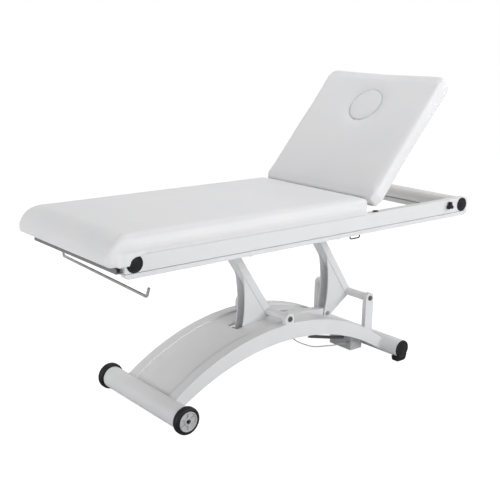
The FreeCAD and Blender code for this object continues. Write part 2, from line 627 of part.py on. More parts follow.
caps = []
feet = []
axles = []
foot_left = "rear_tube_place - foot_width / 2"
foot_right = "rear_tube_place + foot_width / 2"
for side, sign in SIDES:
    caps.append(turned("TubeCap", [
        (outward(sign, "rear_tube_half - cap_plug"), "0"),
        (outward(sign, "rear_tube_half - cap_plug"), "rear_tube_radius - tube_wall"),
        (outward(sign, "rear_tube_half"), "rear_tube_radius - tube_wall"),
        (outward(sign, "rear_tube_half"), "rear_tube_radius"),
        (outward(sign, "rear_tube_half + cap_lip - cap_bevel"), "rear_tube_radius"),
        (outward(sign, "rear_tube_half + cap_lip"), "rear_tube_radius - cap_bevel"),
        (outward(sign, "rear_tube_half + cap_lip"), "0"),
    ], "rear_tube_place", "0", "rear_tube_height"))
    low, high = side_span(sign, "rear_tube_half + cap_lip - foot_depth", "rear_tube_half")
    foot = plate("Foot", "XZ_Plane", low, high, [
        (foot_left + " + foot_corner", "0"),
        (foot_right + " - foot_corner", "0", foot_right + " - foot_corner", "foot_corner", "left"),
        (foot_right, "foot_corner"),
        (foot_right + " + foot_flare", "foot_wrap"),
        (foot_left + " - foot_flare", "foot_wrap"),
        (foot_left, "foot_corner", foot_left + " + foot_corner", "foot_corner", "left"),
    ])
    pocket(foot, "XZ_Plane", low, high, circles=[("rear_tube_place", "rear_tube_height", "rear_tube_radius")])
    feet.append(foot)
    axle_seat = "wheel_inner + wheel_width - axle_sink"
    axles.append(turned("WheelAxle", [
        (outward(sign, "front_tube_half - axle_plug"), "0"),
        (outward(sign, "front_tube_half - axle_plug"), "front_tube_radius - tube_wall"),
        (outward(sign, "front_tube_half"), "front_tube_radius - tube_wall"),
        (outward(sign, "front_tube_half"), "collar_radius"),
        (outward(sign, "wheel_inner - side_gap"), "collar_radius"),
        (outward(sign, "wheel_inner - side_gap"), "axle_radius"),
        (outward(sign, axle_seat + " + side_gap"), "axle_radius"),
        (outward(sign, axle_seat + " + side_gap"), "axle_head_radius"),
        (outward(sign, axle_seat + " + axle_head"), "axle_head_radius"),
        (outward(sign, axle_seat + " + axle_head"), "0"),
    ], "wheel_place", "0", "wheel_radius"))
    inner = outward(sign, "wheel_inner")
    outer = outward(sign, "wheel_inner + wheel_width")
    turn = "right" if sign > 0 else "left"
    shoulder = "wheel_radius - shoulder_radius"
    node("tyre_" + side, turned("Tyre", [
        (outward(sign, "wheel_inner + bead_set"), "hub_radius"),
        (inner, shoulder, outward(sign, "wheel_inner + shoulder_radius"), shoulder, turn),
        (outward(sign, "wheel_inner + shoulder_radius"), "wheel_radius"),
        (outward(sign, "wheel_inner + wheel_width - shoulder_radius"), "wheel_radius",
         outward(sign, "wheel_inner + wheel_width - shoulder_radius"), shoulder, turn),
        (outer, shoulder),
        (outward(sign, "wheel_inner + wheel_width - bead_set"), "hub_radius"),
    ], "wheel_place", "0", "wheel_radius"))
    hollow = outward(sign, "wheel_inner + disc_hollow")
    dish = outward(sign, "wheel_inner + wheel_width - disc_dish")
    node("wheel_disc_" + side, turned("WheelDisc", [
        (inner, "axle_radius + running_gap"),
        (inner, "boss_radius"),
        (hollow, "boss_radius + disc_draft"),
        (hollow, "hub_radius - rim_width - disc_draft"),
        (outward(sign, "wheel_inner + bead_set"), "hub_radius - rim_width"),
        (outward(sign, "wheel_inner + bead_set"), "hub_radius"),
        (outward(sign, "wheel_inner + wheel_width - bead_set"), "hub_radius"),
        (outer, "hub_radius - bead_set"),
        (outer, "hub_radius - rim_width"),
        (dish, "hub_radius - rim_width - disc_dish"),
        (dish, "boss_radius + disc_dish"),
        (outer, "boss_radius"),
        (outer, "axle_head_radius + 2 * side_gap"),
        (outward(sign, axle_seat), "axle_head_radius + 2 * side_gap"),
        (outward(sign, axle_seat), "axle_radius + running_gap"),
    ], "wheel_place", "0", "wheel_radius"))
node("rear_tube_caps", group("TubeCaps", *caps))
node("rear_feet", group("Feet", *feet))
node("wheel_axles", group("WheelAxles", *axles))

# ---------------------------------------------------------------- pivots of the base
ARMS = (("front", "pivot_place"), ("rear", "rear_pivot_place"))


def base_ear(sign, x):
    """Upright ear with a round top, standing on the curved top of a side member."""
    low, high = side_span(sign, "ear_inner", "ear_inner + ear_thick")
    left = x + " - ear_half"
    right = x + " + ear_half"
    return plate("BaseEar", "XZ_Plane", low, high, [
        (left, arch_height("(" + left + ")", "crest_height", "arch_top_radius"),
         "crest_place", "crest_height - arch_top_radius", "right"),
        (right, arch_height("(" + right + ")", "crest_height", "arch_top_radius")),
        (right, "pivot_height", x, "pivot_height", "left"),
        (left, "pivot_height"),
    ], [(x, "pivot_height", "pivot_pin_radius + running_gap")])


def pivot_bolt(x, z):
    """Long bolt through both ears, with a low round head and a nut."""
    face = "(ear_inner + ear_thick)"
    return turned("PivotBolt", [
        ("-%s - bolt_head" % face, "0"),
        ("-%s - bolt_head" % face, "pivot_pin_radius + bolt_lip - bolt_bevel"),
        ("-%s - bolt_head + bolt_bevel" % face, "pivot_pin_radius + bolt_lip"),
        ("-%s" % face, "pivot_pin_radius + bolt_lip"),
        ("-%s" % face, "pivot_pin_radius"),
        (face, "pivot_pin_radius"),
        (face, "pivot_pin_radius + bolt_lip"),
        ("%s + bolt_head" % face, "pivot_pin_radius + bolt_lip"),
        ("%s + bolt_head" % face, "bolt_socket"),
        ("%s + bolt_head - bolt_hollow" % face, "bolt_socket"),
        ("%s + bolt_head - bolt_hollow" % face, "0"),
    ], x, "0", z)


node("base_pivot_ears", group("BaseEars", *[base_ear(sign, x) for name, x in ARMS for side, sign in SIDES]))
node("base_pivot_bolts", group("BasePivotBolts", *[pivot_bolt(x, "pivot_height") for name, x in ARMS]))

# ---------------------------------------------------------------- lifting arms
LEAN = "sin(arm_lean)", "cos(arm_lean)"


def on_arm(x, along, across):
    """Point of an arm from its base pivot: up the arm, then across it towards the head end."""
    return ("%s - (%s) * %s + (%s) * %s" % (x, along, LEAN[0], across, LEAN[1]),
            "pivot_height + (%s) * %s + (%s) * %s" % (along, LEAN[1], across, LEAN[0]))


for name, x in ARMS:
    upper = on_arm(x, "arm_length", "0")
    strut = plate("ArmStrut", "XZ_Plane", "-strut_half", "strut_half", [
        on_arm(x, "0", "-strut_width / 2"),
        on_arm(x, "0", "strut_width / 2"),
        on_arm(x, "arm_length", "strut_width / 2"),
        on_arm(x, "arm_length", "-strut_width / 2"),
    ])
    pocket(strut, "XZ_Plane", "-strut_half", "strut_half",
           circles=[(x, "pivot_height", "pivot_tube_radius"), upper + ("pivot_tube_radius",)])
    pocket(strut, "XZ_Plane", "strut_wall - strut_half", "strut_half - strut_wall", [
        on_arm(x, "0", "strut_wall - strut_width / 2"),
        on_arm(x, "0", "strut_width / 2 - strut_wall"),
        on_arm(x, "arm_length", "strut_width / 2 - strut_wall"),
        on_arm(x, "arm_length", "strut_wall - strut_width / 2"),
    ])
    node(name + "_arm_strut", strut)

    pin_x = "(%s - link_reach)" % x
    pin_z = "(pivot_height - link_drop)"
    apex = on_arm(x, "web_top", "-strut_width / 2")
    tip = (pin_x + " - link_tip_radius", pin_z)
    half_rise = "((%s) - (%s)) / 2" % (apex[1], tip[1])
    half_run = "((%s) - (%s)) / 2" % (apex[0], tip[0])
    half_chord = "sqrt((%s)^2 + (%s)^2)" % (half_rise, half_run)
    back = "sqrt(web_bow^2 - (%s)^2) / (%s)" % (half_chord, half_chord)
    bow_centre = ("(%s) + %s - (%s) * %s" % (tip[0], half_run, half_rise, back),
                  "(%s) + %s + (%s) * %s" % (tip[1], half_rise, half_run, back))
    webs = []
    for side, sign in SIDES:
        low, high = side_span(sign, "web_inner", "web_inner + web_thick")
        web = plate("ArmWeb", "XZ_Plane", low, high, [
            on_arm(x, "0", "-strut_width / 2"),
            (x, "pivot_height - pivot_tube_radius - web_under"),
            (pin_x + " + link_tip_radius * cos(link_tip_angle)",
             pin_z + " + link_tip_radius * sin(link_tip_angle)", pin_x, pin_z, "right"),
            tip + bow_centre + ("left",),
            apex,
        ], [(pin_x, pin_z, "link_pin_radius + running_gap")])
        pocket(web, "XZ_Plane", low, high, circles=[(x, "pivot_height", "pivot_tube_radius")])
        webs.append(web)
    node(name + "_arm_webs", group("ArmWebs", *webs))

    tube_end = "ear_inner - side_gap"
    loose = "open_gap" if name == "rear" else "running_gap"
    node(name + "_arm_lower_tube", turned(
        "PivotTube",
        ring("-(%s)" % tube_end, tube_end, "pivot_pin_radius + running_gap", "pivot_tube_radius"),
        x, "0", "pivot_height"))
    node(name + "_arm_upper_tube", turned(
        "PivotTube", ring("-(%s)" % tube_end, tube_end, "pivot_pin_radius + " + loose, "pivot_tube_radius"),
        upper[0], "0", upper[1]))
    web_face = "(web_inner + web_thick)"
    pin_end = web_face if name == "rear" else "(ram_side + ram_eye_half + side_gap)"
    node(name + "_link_pin", turned("LinkPin", [
        ("-%s - pin_head" % web_face, "0"),
        ("-%s - pin_head" % web_face, "link_pin_radius + pin_lip"),
        ("-%s" % web_face, "link_pin_radius + pin_lip"),
        ("-%s" % web_face, "link_pin_radius"),
        (pin_end, "link_pin_radius"),
        (pin_end, "link_pin_radius + pin_lip"),
        ("%s + pin_head" % pin_end, "link_pin_radius + pin_lip"),
        ("%s + pin_head" % pin_end, "0"),
    ], pin_x, "0", pin_z))

# ---------------------------------------------------------------- tie bar between the two arms
LINK_Z = "(pivot_height - link_drop)"
FRONT_LINK = "(pivot_place - link_reach)"
REAR_LINK = "(rear_pivot_place - link_reach)"
tie_low = LINK_Z + " - tie_fall"
tie_high = LINK_Z + " + tie_rise"
tie_shoulder = LINK_Z + " + tie_end_rise"
tie_inside = tie_shoulder + " + (tie_rise - tie_end_rise) * 2 * tie_end / tie_taper - tie_wall"
tie = plate("TieBar", "XZ_Plane", "-tie_half", "tie_half", [
    (FRONT_LINK + " - tie_end", tie_low),
    (REAR_LINK + " + tie_end", tie_low),
    (REAR_LINK + " + tie_end", tie_shoulder),
    (REAR_LINK + " + tie_end - tie_taper", tie_high),
    (FRONT_LINK + " - tie_end + tie_taper", tie_high),
    (FRONT_LINK + " - tie_end", tie_shoulder),
], [(FRONT_LINK, LINK_Z, "link_pin_radius + running_gap"), (REAR_LINK, LINK_Z, "link_pin_radius + open_gap")])
pocket(tie, "XZ_Plane", "tie_wall - tie_half", "tie_half - tie_wall", [
    (FRONT_LINK + " + tie_end", tie_low),
    (REAR_LINK + " - tie_end", tie_low),
    (REAR_LINK + " - tie_end", tie_inside),
    (REAR_LINK + " + tie_end - tie_taper", tie_high + " - tie_wall"),
    (FRONT_LINK + " - tie_end + tie_taper", tie_high + " - tie_wall"),
    (FRONT_LINK + " + tie_end", tie_inside),
])
round_edges(tie, "tie_corner", lambda edge: abs(edge.BoundBox.YLength - value("2 * tie_half")) < NEAR
            and edge.BoundBox.XLength < NEAR and edge.BoundBox.ZMax < value(LINK_Z))
node("tie_bar", tie)

# ---------------------------------------------------------------- lifting actuator
RAM_X = "(pivot_place + link_reach)"
ram_lugs = []
ram_low_face = "ram_side - ram_eye_half - side_gap"
ram_high_face = "ram_side + ram_eye_half + side_gap"
for edge_low, edge_high in ((ram_low_face + " - ram_lug_thick", ram_low_face),
                            (ram_high_face, ram_high_face + " + ram_lug_thick")):
    left = RAM_X + " - ram_eye_radius"
    right = RAM_X + " + ram_eye_radius"
    under = ("crest_height - deck_drop - deck_thick", "arch_top_radius - deck_drop - deck_thick")
    ram_lugs.append(plate("RamLug", "XZ_Plane", edge_low, edge_high, [
        (left, LINK_Z, RAM_X, LINK_Z, "left"),
        (right, LINK_Z),
        (right, arch_height("(" + right + ")", *under), "crest_place", "%s - (%s)" % under, "left"),
        (left, arch_height("(" + left + ")", *under)),
    ], [(RAM_X, LINK_Z, "ram_pin_radius + running_gap")]))
lug_face = "(ram_eye_half + side_gap + ram_lug_thick)"
ram_pin = turned("RamPin", [
    ("-%s - ram_pin_clip" % lug_face, "0"),
    ("-%s - ram_pin_clip" % lug_face, "ram_pin_radius + ram_pin_lip"),
    ("-%s" % lug_face, "ram_pin_radius + ram_pin_lip"),
    ("-%s" % lug_face, "ram_pin_radius"),
    (lug_face, "ram_pin_radius"),
    (lug_face, "ram_pin_radius + ram_pin_lip"),
    ("%s + ram_pin_head" % lug_face, "ram_pin_radius + ram_pin_lip"),
    ("%s + ram_pin_head" % lug_face, "0"),
], RAM_X, "ram_side", LINK_Z)
node("actuator_bracket", group("RamBracket", ram_pin, *ram_lugs))

gear_front = RAM_X + " - ram_gear_start - ram_gear_length"
housing = plate("RamHousing", "XZ_Plane", "ram_side - ram_eye_half", "ram_side + ram_eye_half", [
    (RAM_X, LINK_Z + " - ram_eye_radius", RAM_X, LINK_Z, "left"),
    (RAM_X, LINK_Z + " + ram_eye_radius"),
    (RAM_X + " - ram_gear_start - lap", LINK_Z + " + ram_eye_radius"),
    (RAM_X + " - ram_gear_start - lap", LINK_Z + " - ram_eye_radius"),
], [(RAM_X, LINK_Z, "ram_pin_radius + running_gap")])
gearbox = plate("RamGearbox", "XZ_Plane", "ram_side - ram_tube_radius", "ram_side + ram_tube_radius",
                rectangle(gear_front, RAM_X + " - ram_gear_start", LINK_Z + " - motor_drop - motor_radius",
                          LINK_Z + " + ram_tube_radius"))
round_edges(gearbox, "ram_gear_corner",
            lambda edge: edge.BoundBox.YLength > value("2 * ram_tube_radius") - NEAR)
ram_tube = cylinder("RamTube", "ram_tube_radius", "ram_tube_end - ram_gear_start",
                    RAM_X + " - ram_tube_end", "ram_side", LINK_Z, "X")
ram_bore = cylinder("RamBore", "ram_rod_radius + ram_rod_gap", "ram_tube_end - ram_bore_end",
                    RAM_X + " - ram_tube_end", "ram_side", LINK_Z, "X")
node("actuator_housing", cut("RamTubeBored", fuse("RamSolid", housing, gearbox, ram_tube), ram_bore))
node("actuator_motor", cylinder("RamMotor", "motor_radius", "motor_length - ram_gear_length",
                                gear_front + " - motor_length + ram_gear_length", "ram_side",
                                LINK_Z + " - motor_drop", "X"))
rod_eye = plate("RamEye", "XZ_Plane", "ram_side - ram_eye_half", "ram_side + ram_eye_half", (), [
    (FRONT_LINK, LINK_Z, "ram_eye_radius"), (FRONT_LINK, LINK_Z, "link_pin_radius + running_gap")])
rod_bar = cylinder("RamRod", "ram_rod_radius", "ram_rod_length - ram_eye_radius + lap",
                   FRONT_LINK + " + ram_eye_radius - lap", "ram_side", LINK_Z, "X")
node("actuator_rod", fuse("RamRodSolid", rod_eye, rod_bar))

# ---------------------------------------------------------------- control box and its lead
deck_inside = "member_outer - member_width"
control = plate("ControlBox", "XZ_Plane", "-(%s)" % deck_inside, "box_far",
                rectangle("box_foot", "box_head", "box_low", "box_top"))
round_edges(control, "box_corner", lambda edge: edge.BoundBox.YLength > value("member_width"))
node("control_box", control)
LEAD = [Vector(398, -104, 80), Vector(374, -104, 80), Vector(345, -107, 86), Vector(300, -109, 90),
        Vector(255, -109, 98), Vector(210, -108, 104), Vector(168, -107, 115), Vector(130, -106, 133),
        Vector(92, -107, 152), Vector(62, -108, 176), Vector(42, -108, 192), Vector(26, -108, 194)]


def lead_bend(corner):
    """Bend radius at a corner of the lead: 0.45 of its shorter run over the tangent of half the turn."""
    place = LEAD.index(corner)
    way_in = LEAD[place] - LEAD[place - 1]
    way_out = LEAD[place + 1] - LEAD[place]
    return 0.45 * min(way_in.Length, way_out.Length) / math.tan(way_in.getAngle(way_out) / 2)


lead = node("control_lead", bent_rod("ControlLead", LEAD, value("lead_radius"), lead_bend))
lead_length = sum((after - before).Length for before, after in zip(LEAD, LEAD[1:]))
lead_bends = [round(lead_bend(corner)) for corner in LEAD[1:-1]]
print("lead: runs %.0f mm, bend radii %s" % (lead_length, lead_bends))
print("lead: volume over section times length %.4f" % (
    lead.Shape.Volume / (math.pi * value("lead_radius") ** 2 * lead_length)))
gland = cylinder("Gland", "gland_radius", "box_foot - %s" % LEAD[0].x,
                 str(LEAD[0].x), str(LEAD[0].y), str(LEAD[0].z), "X")
clip = block("LeadClip", "%s - clip_length" % LEAD[-1].x, "member_width - member_outer",
             "%s - clip_drop" % LEAD[-1].z, "clip_length",
             "%s + member_outer - member_width + clip_lap" % LEAD[-1].y, "clip_height")
node("lead_fittings", group("LeadFittings", gland, clip))

# ---------------------------------------------------------------- top frame
for side, sign in SIDES:
    low, high = side_span(sign, "rail_outer - rail_thick", "rail_outer")
    stud_hole = [("knob_place", "knob_height", "stud_radius + running_gap")]
    rail = plate("SideRail", "XZ_Plane", low, high,
                 rectangle("frame_foot", "frame_head", "rail_low", "rail_top"),
                 stud_hole if side == "near" else ())
    round_edges(rail, "rail_corner", lambda edge: edge.BoundBox.YLength > value("rail_thick") - NEAR
                and edge.BoundBox.XMin > value("frame_head") - NEAR
                and edge.BoundBox.ZMin > value("rail_top") - NEAR)
    low, high = side_span(sign, "rail_outer - rail_thick", "rail_outer - rail_wall")
    pocket(rail, "XZ_Plane", low, high,
           rectangle("frame_foot + end_block", "frame_head - end_block",
                     "rail_low + rail_wall", "rail_top - rail_wall"))
    node("side_rail_" + side, rail)

bars = []
bar_top = "(rail_low - seam_height)"
bar_inner = "rail_outer - rail_thick + bar_set"
bar_outer = "rail_outer - bar_set"
for side, sign in SIDES:
    low, high = side_span(sign, bar_inner, bar_outer)
    left = "frame_foot + bar_set"
    right = "frame_head - bar_set"
    bar = plate("LowerSideBar", "XZ_Plane", low, high, [
        (left, bar_top),
        (left, "bar_low + bar_corner", left + " + bar_corner", "bar_low + bar_corner", "left"),
        (left + " + bar_corner", "bar_low"),
        (right + " - bar_corner", "bar_low", right + " - bar_corner", "bar_low + bar_corner", "left"),
        (right, "bar_low + bar_corner"),
        (right, bar_top),
    ])
    low, high = side_span(sign, bar_inner + " + seam_depth", bar_outer + " - seam_depth")
    pad(bar, "XZ_Plane", low, high,
        rectangle(left + " + seam_depth", right + " - seam_depth", bar_top, "rail_low"))
    low, high = side_span(sign, bar_inner + " + bar_wall", bar_outer + " - bar_wall")
    pocket(bar, "XZ_Plane", low, high,
           rectangle(left + " + bar_block", right + " - bar_block",
                     "bar_low + bar_wall", bar_top + " - bar_wall"))
    if side == "far":
        pocket(bar, "XY_Plane", "bar_low", "bar_low + bar_wall + lap",
               circles=[("roll_place", "roll_leg", "roll_radius + running_gap")])
    bars.append(bar)
for x in ("cross_foot", "cross_head"):
    bar = plate("LowerEndBar", "XZ_Plane", "-(%s)" % bar_inner, bar_inner,
                rectangle(x + " - end_bar_half", x + " + end_bar_half", "bar_low", "rail_low"))
    pocket(bar, "XZ_Plane", "-(%s)" % bar_inner, bar_inner,
           rectangle(x + " - end_bar_half + bar_wall", x + " + end_bar_half - bar_wall",
                     "bar_low + bar_wall", "rail_low - bar_wall"))
    bars.append(bar)
node("lower_bars", group("LowerBars", *bars))

rail_middle = "(rail_low + rail_top) / 2"
rail_half = "(rail_top - rail_low) / 2"
rail_inside = "rail_outer - rail_thick"
tubes = []
plugs = []
for x in ("cross_foot", "cross_head"):
    tubes.append(turned("EndCrossTube", ring("-(%s)" % rail_inside, rail_inside,
                                             rail_half + " - cross_wall", rail_half), x, "0", rail_middle))
    for side, sign in SIDES:
        plugs.append(turned("CrossTubePlug", [
            (outward(sign, "rail_outer"), "0"),
            (outward(sign, "rail_outer"), rail_half),
            (outward(sign, "rail_outer + plug_thick - plug_bevel"), rail_half),
            (outward(sign, "rail_outer + plug_thick"), rail_half + " - plug_bevel"),
            (outward(sign, "rail_outer + plug_thick"), "0"),
        ], x, "0", rail_middle))
node("end_cross_tubes", group("EndCrossTubes", *tubes))
node("cross_tube_plugs", group("CrossTubePlugs", *plugs))

beam_top = "rail_top - rail_wall"
beam_low = "(rail_top - rail_wall - beam_thick)"
beam_reach = "(rail_outer - rail_wall)"
beams = [block("FlatBeam", x + " - beam_width / 2", "-" + beam_reach, beam_low,
               "beam_width", "2 * " + beam_reach, "beam_thick")
         for x in ("beam_foot", "beam_middle", "beam_head")]
node("frame_beams", group("FrameBeams", *beams))
stringers = []
ears = []
ear_middle = "(ear_inner + ear_thick / 2)"
for side, sign in SIDES:
    low, high = side_span(sign, ear_middle + " - stringer_width / 2", ear_middle + " + stringer_width / 2")
    stringer = plate("Stringer", "XZ_Plane", low, high,
                     rectangle("stringer_foot", "stringer_head", beam_low + " - stringer_depth", beam_low))
    low, high = side_span(sign, ear_middle + " - stringer_width / 2 + stringer_wall",
                          ear_middle + " + stringer_width / 2 - stringer_wall")
    pocket(stringer, "XZ_Plane", low, high,
           rectangle("stringer_foot", "stringer_head", beam_low + " - stringer_depth + stringer_wall",
                     beam_low + " - stringer_wall"))
    stringers.append(stringer)
    low, high = side_span(sign, "ear_inner", "ear_inner + ear_thick")
    for name, x in ARMS:
        upper = on_arm(x, "arm_length", "0")
        left = upper[0] + " - ear_half"
        right = upper[0] + " + ear_half"
        ears.append(plate("TopEar", "XZ_Plane", low, high, [
            (left, beam_low + " - stringer_depth"),
            (left, upper[1], upper[0], upper[1], "left"),
            (right, upper[1]),
            (right, beam_low + " - stringer_depth"),
        ], [upper + ("pivot_pin_radius + running_gap",)]))
node("stringers", group("Stringers", *stringers))
node("top_pivot_ears", group("TopEars", *ears))
top_bolts = [pivot_bolt(*on_arm(x, "arm_length", "0")) for name, x in ARMS]
node("top_pivot_bolts", group("TopPivotBolts", *top_bolts))

# ---------------------------------------------------------------- seat
seat_end = "hinge_place - hinge_gap"
node("seat_board", block("SeatBoard", "frame_foot", "-board_half", "rail_top", seat_end + " - frame_foot",
                         "2 * board_half", "board_thick"))
nose_x = "(nose_end + nose_radius)"
nose_z = "(pad_top - nose_radius)"
low_x = "(nose_end + nose_low_radius)"
wrap_x = "(frame_foot - nose_gap)"
cushion = plate("SeatCushion", "XZ_Plane", "-pad_half", "pad_half", [
    (seat_end, "rail_top"),
    (seat_end, "pad_top - pad_edge", seat_end + " - pad_edge", "pad_top - pad_edge", "left"),
    (seat_end + " - pad_edge", "pad_top"),
    (nose_x, "pad_top", nose_x, nose_z, "left"),
    ("nose_end", nose_z, low_x, nose_z, "left"),
    (low_x, "nose_low"),
    (wrap_x, "nose_low"),
    (wrap_x, "rail_top"),
])
cheek_radius = "(%s + cheek_clear)" % rail_half
for side, sign in SIDES:
    low, high = side_span(sign, "rail_outer + plug_thick + cheek_gap", "pad_half")
    pad(cushion, "XZ_Plane", low, high, [
        (wrap_x + " - lap", "nose_low"),
        ("cross_foot - sqrt(%s^2 - (nose_low - %s)^2)" % (cheek_radius, rail_middle), "nose_low",
         "cross_foot", rail_middle, "right"),
        ("cross_foot - sqrt(%s^2 - %s^2)" % (cheek_radius, rail_half), "rail_top"),
        (wrap_x + " - lap", "rail_top"),
    ])
pocket(cushion, "XZ_Plane", "-board_half", "board_half",
       rectangle("frame_foot", seat_end, "rail_top", "rail_top + board_thick"))
corner = "(nose_end + pad_corner)"
side_corner = "(pad_half - pad_corner)"
plan = plate("SeatPlan", "XY_Plane", "rail_low", "pad_top + lap", [
    ("nose_end", "-" + side_corner, corner, "-" + side_corner, "left"),
    (corner, "-pad_half"),
    ("hinge_place", "-pad_half"),
    ("hinge_place", "pad_half"),
    (corner, "pad_half", corner, side_corner, "left"),
    ("nose_end", side_corner),
])
rounded = doc.addObject("Part::MultiCommon", "SeatCushionRounded")
rounded.Shapes = [cushion, plan]
node("seat_cushion", rounded)

# ---------------------------------------------------------------- backrest, in its own frame along the hinge
back_top = "(pad_top - hinge_height)"
back_low = "(pad_top - hinge_height - back_thick)"
board_end = "(back_length - back_wrap)"


def on_back(body):
    """Sets a piece drawn from the hinge axis, with X along the backrest, into its place at rest."""
    return tilt(move(body, "hinge_place", "0", "hinge_height"), "back_angle")


board_turn = board_end + " - board_corner"
board_side = "board_half - board_corner"
board_outline = [
    ("hinge_gap", "-board_half"),
    (board_turn, "-board_half", board_turn, "-(%s)" % board_side, "left"),
    (board_end, "-(%s)" % board_side),
    (board_end, board_side, board_turn, board_side, "left"),
    (board_turn, "board_half"),
    ("hinge_gap", "board_half"),
]
back_board = plate("BackBoard", "XY_Plane", back_low, back_low + " + board_thick", board_outline,
                   [("face_place", "0", "face_radius - face_ledge")])
node("back_board", on_back(back_board))
back_cushion = plate("BackCushion", "XZ_Plane", "-pad_half", "pad_half", [
    ("hinge_gap", back_low),
    ("back_length - back_low_edge", back_low,
     "back_length - back_low_edge", back_low + " + back_low_edge", "left"),
    ("back_length", back_low + " + back_low_edge"),
    ("back_length", back_top + " - back_high_edge",
     "back_length - back_high_edge", back_top + " - back_high_edge", "left"),
    ("back_length - back_high_edge", back_top),
    ("hinge_gap + pad_edge", back_top, "hinge_gap + pad_edge", back_top + " - pad_edge", "left"),
    ("hinge_gap", back_top + " - pad_edge"),
])
pocket(back_cushion, "XY_Plane", back_low, back_low + " + board_thick", board_outline)
pocket(back_cushion, "XY_Plane", back_low, back_top, circles=[("face_place", "0", "face_radius")])
far_corner = "(back_length - pad_corner)"
back_plan = plate("BackPlan", "XY_Plane", back_low + " - lap", back_top + " + lap", [
    ("0", "-pad_half"),
    (far_corner, "-pad_half", far_corner, "-" + side_corner, "left"),
    ("back_length", "-" + side_corner),
    ("back_length", side_corner, far_corner, side_corner, "left"),
    (far_corner, "pad_half"),
    ("0", "pad_half"),
])
back_rounded = doc.addObject("Part::MultiCommon", "BackCushionRounded")
back_rounded.Shapes = [back_cushion, back_plan]
node("back_cushion", on_back(back_rounded))
plug = plate("FacePlug", "XY_Plane", back_low + " + board_thick + face_rest", back_top, (),
             [("face_place", "0", "face_radius - face_gap")])
node("face_plug", on_back(plug))

# ---------------------------------------------------------------- backrest hinges
seat_leaves = []
back_leaves = []
pins = []
leaf_half = "leaf_width / 2"
for side, sign in SIDES:
    middle = "leaf_side" if sign > 0 else "-leaf_side"
    knuckles = (("%s - %s" % (middle, leaf_half), "%s - leaf_width / 6 - knuckle_gap" % middle),
                ("%s + leaf_width / 6 + knuckle_gap" % middle, "%s + %s" % (middle, leaf_half)))
    hole = ("0", "0", "hinge_pin_radius + running_gap")
    outside = ("0", "0", "knuckle_radius")
    inner_leaf = ("-hinge_gap", "leaf_thick - hinge_gap")
    depth = "(knuckle_radius + side_gap)"
    pieces = [plate("SeatKnuckle", "XZ_Plane", low, high, (), [outside, hole]) for low, high in knuckles]
    pieces += [plate("SeatTab", "XZ_Plane", low, high, [
        (inner_leaf[0], "-" + depth), (inner_leaf[1] + " + tab_extra", "-" + depth),
        (inner_leaf[1] + " + tab_extra", "-hinge_pin_radius - tab_rise"),
        (inner_leaf[1], "0"), (inner_leaf[0], "0")])
        for low, high in knuckles]
    pieces.append(plate("SeatLeaf", "XZ_Plane", knuckles[0][0], knuckles[1][1],
                        rectangle(inner_leaf[0], inner_leaf[1],
                                  "rail_top + board_thick - hinge_height", "-" + depth)))
    seat_leaves.append(move(fuse("SeatLeafSolid", *pieces), "hinge_place", "0", "hinge_height"))
    low, high = "%s - leaf_width / 6" % middle, "%s + leaf_width / 6" % middle
    pieces = [
        plate("BackKnuckle", "XZ_Plane", low, high, (), [outside, hole]),
        plate("BackTab", "XZ_Plane", low, high, [
            ("hinge_gap", "-" + depth), ("hinge_gap", "0"), ("hinge_gap - leaf_thick", "0"),
            ("hinge_gap - leaf_thick - tab_extra", "-hinge_pin_radius - tab_rise"),
            ("hinge_gap - leaf_thick - tab_extra", "-" + depth)]),
        plate("BackLeaf", "XZ_Plane", knuckles[0][0], knuckles[1][1],
              rectangle("hinge_gap - leaf_thick", "hinge_gap", back_low, "-" + depth)),
    ]
    back_leaves.append(on_back(fuse("BackLeafSolid", *pieces)))
    pins.append(cylinder("HingePin", "hinge_pin_radius", "leaf_width",
                         "hinge_place", "%s - %s" % (middle, leaf_half), "hinge_height"))
node("hinge_seat_leaves", group("SeatLeaves", *seat_leaves))
node("hinge_back_leaves", group("BackLeaves", *back_leaves))
node("hinge_pins", group("HingePins", *pins))

# ---------------------------------------------------------------- gas spring of the backrest
LOW_END = ("(hinge_place - spring_reach * cos(spring_low_angle))",
           "(hinge_height - spring_reach * sin(spring_low_angle))")
HIGH_END = ("(spring_reach * cos(spring_high_angle))", "(-spring_reach * sin(spring_high_angle))")
SPRING_ANGLE = "(back_angle - spring_high_angle - 180 + spring_low_angle) / 2 + 90"
SPRING_REST = "2 * spring_reach * sin((back_angle - spring_high_angle + 180 - spring_low_angle) / 2)"
spring_lug_inner = "spring_eye_half + side_gap"
spring_lug_outer = "spring_eye_half + side_gap + spring_lug_thick"
lug_radius = "(spring_eye_radius + spring_lug_wall)"


def spring_pin(name):
    """Pin of one end of the gas spring, with a head at both ends, drawn about its own middle."""
    end = "(%s)" % spring_lug_outer
    return turned(name, [
        ("-%s - spring_pin_head" % end, "0"),
        ("-%s - spring_pin_head" % end, "spring_pin_radius + spring_pin_head"),
        ("-%s" % end, "spring_pin_radius + spring_pin_head"),
        ("-%s" % end, "spring_pin_radius"),
        (end, "spring_pin_radius"),
        (end, "spring_pin_radius + spring_pin_head"),
        (end + " + spring_pin_head", "spring_pin_radius + spring_pin_head"),
        (end + " + spring_pin_head", "0"),
    ], "0", "0", "0")


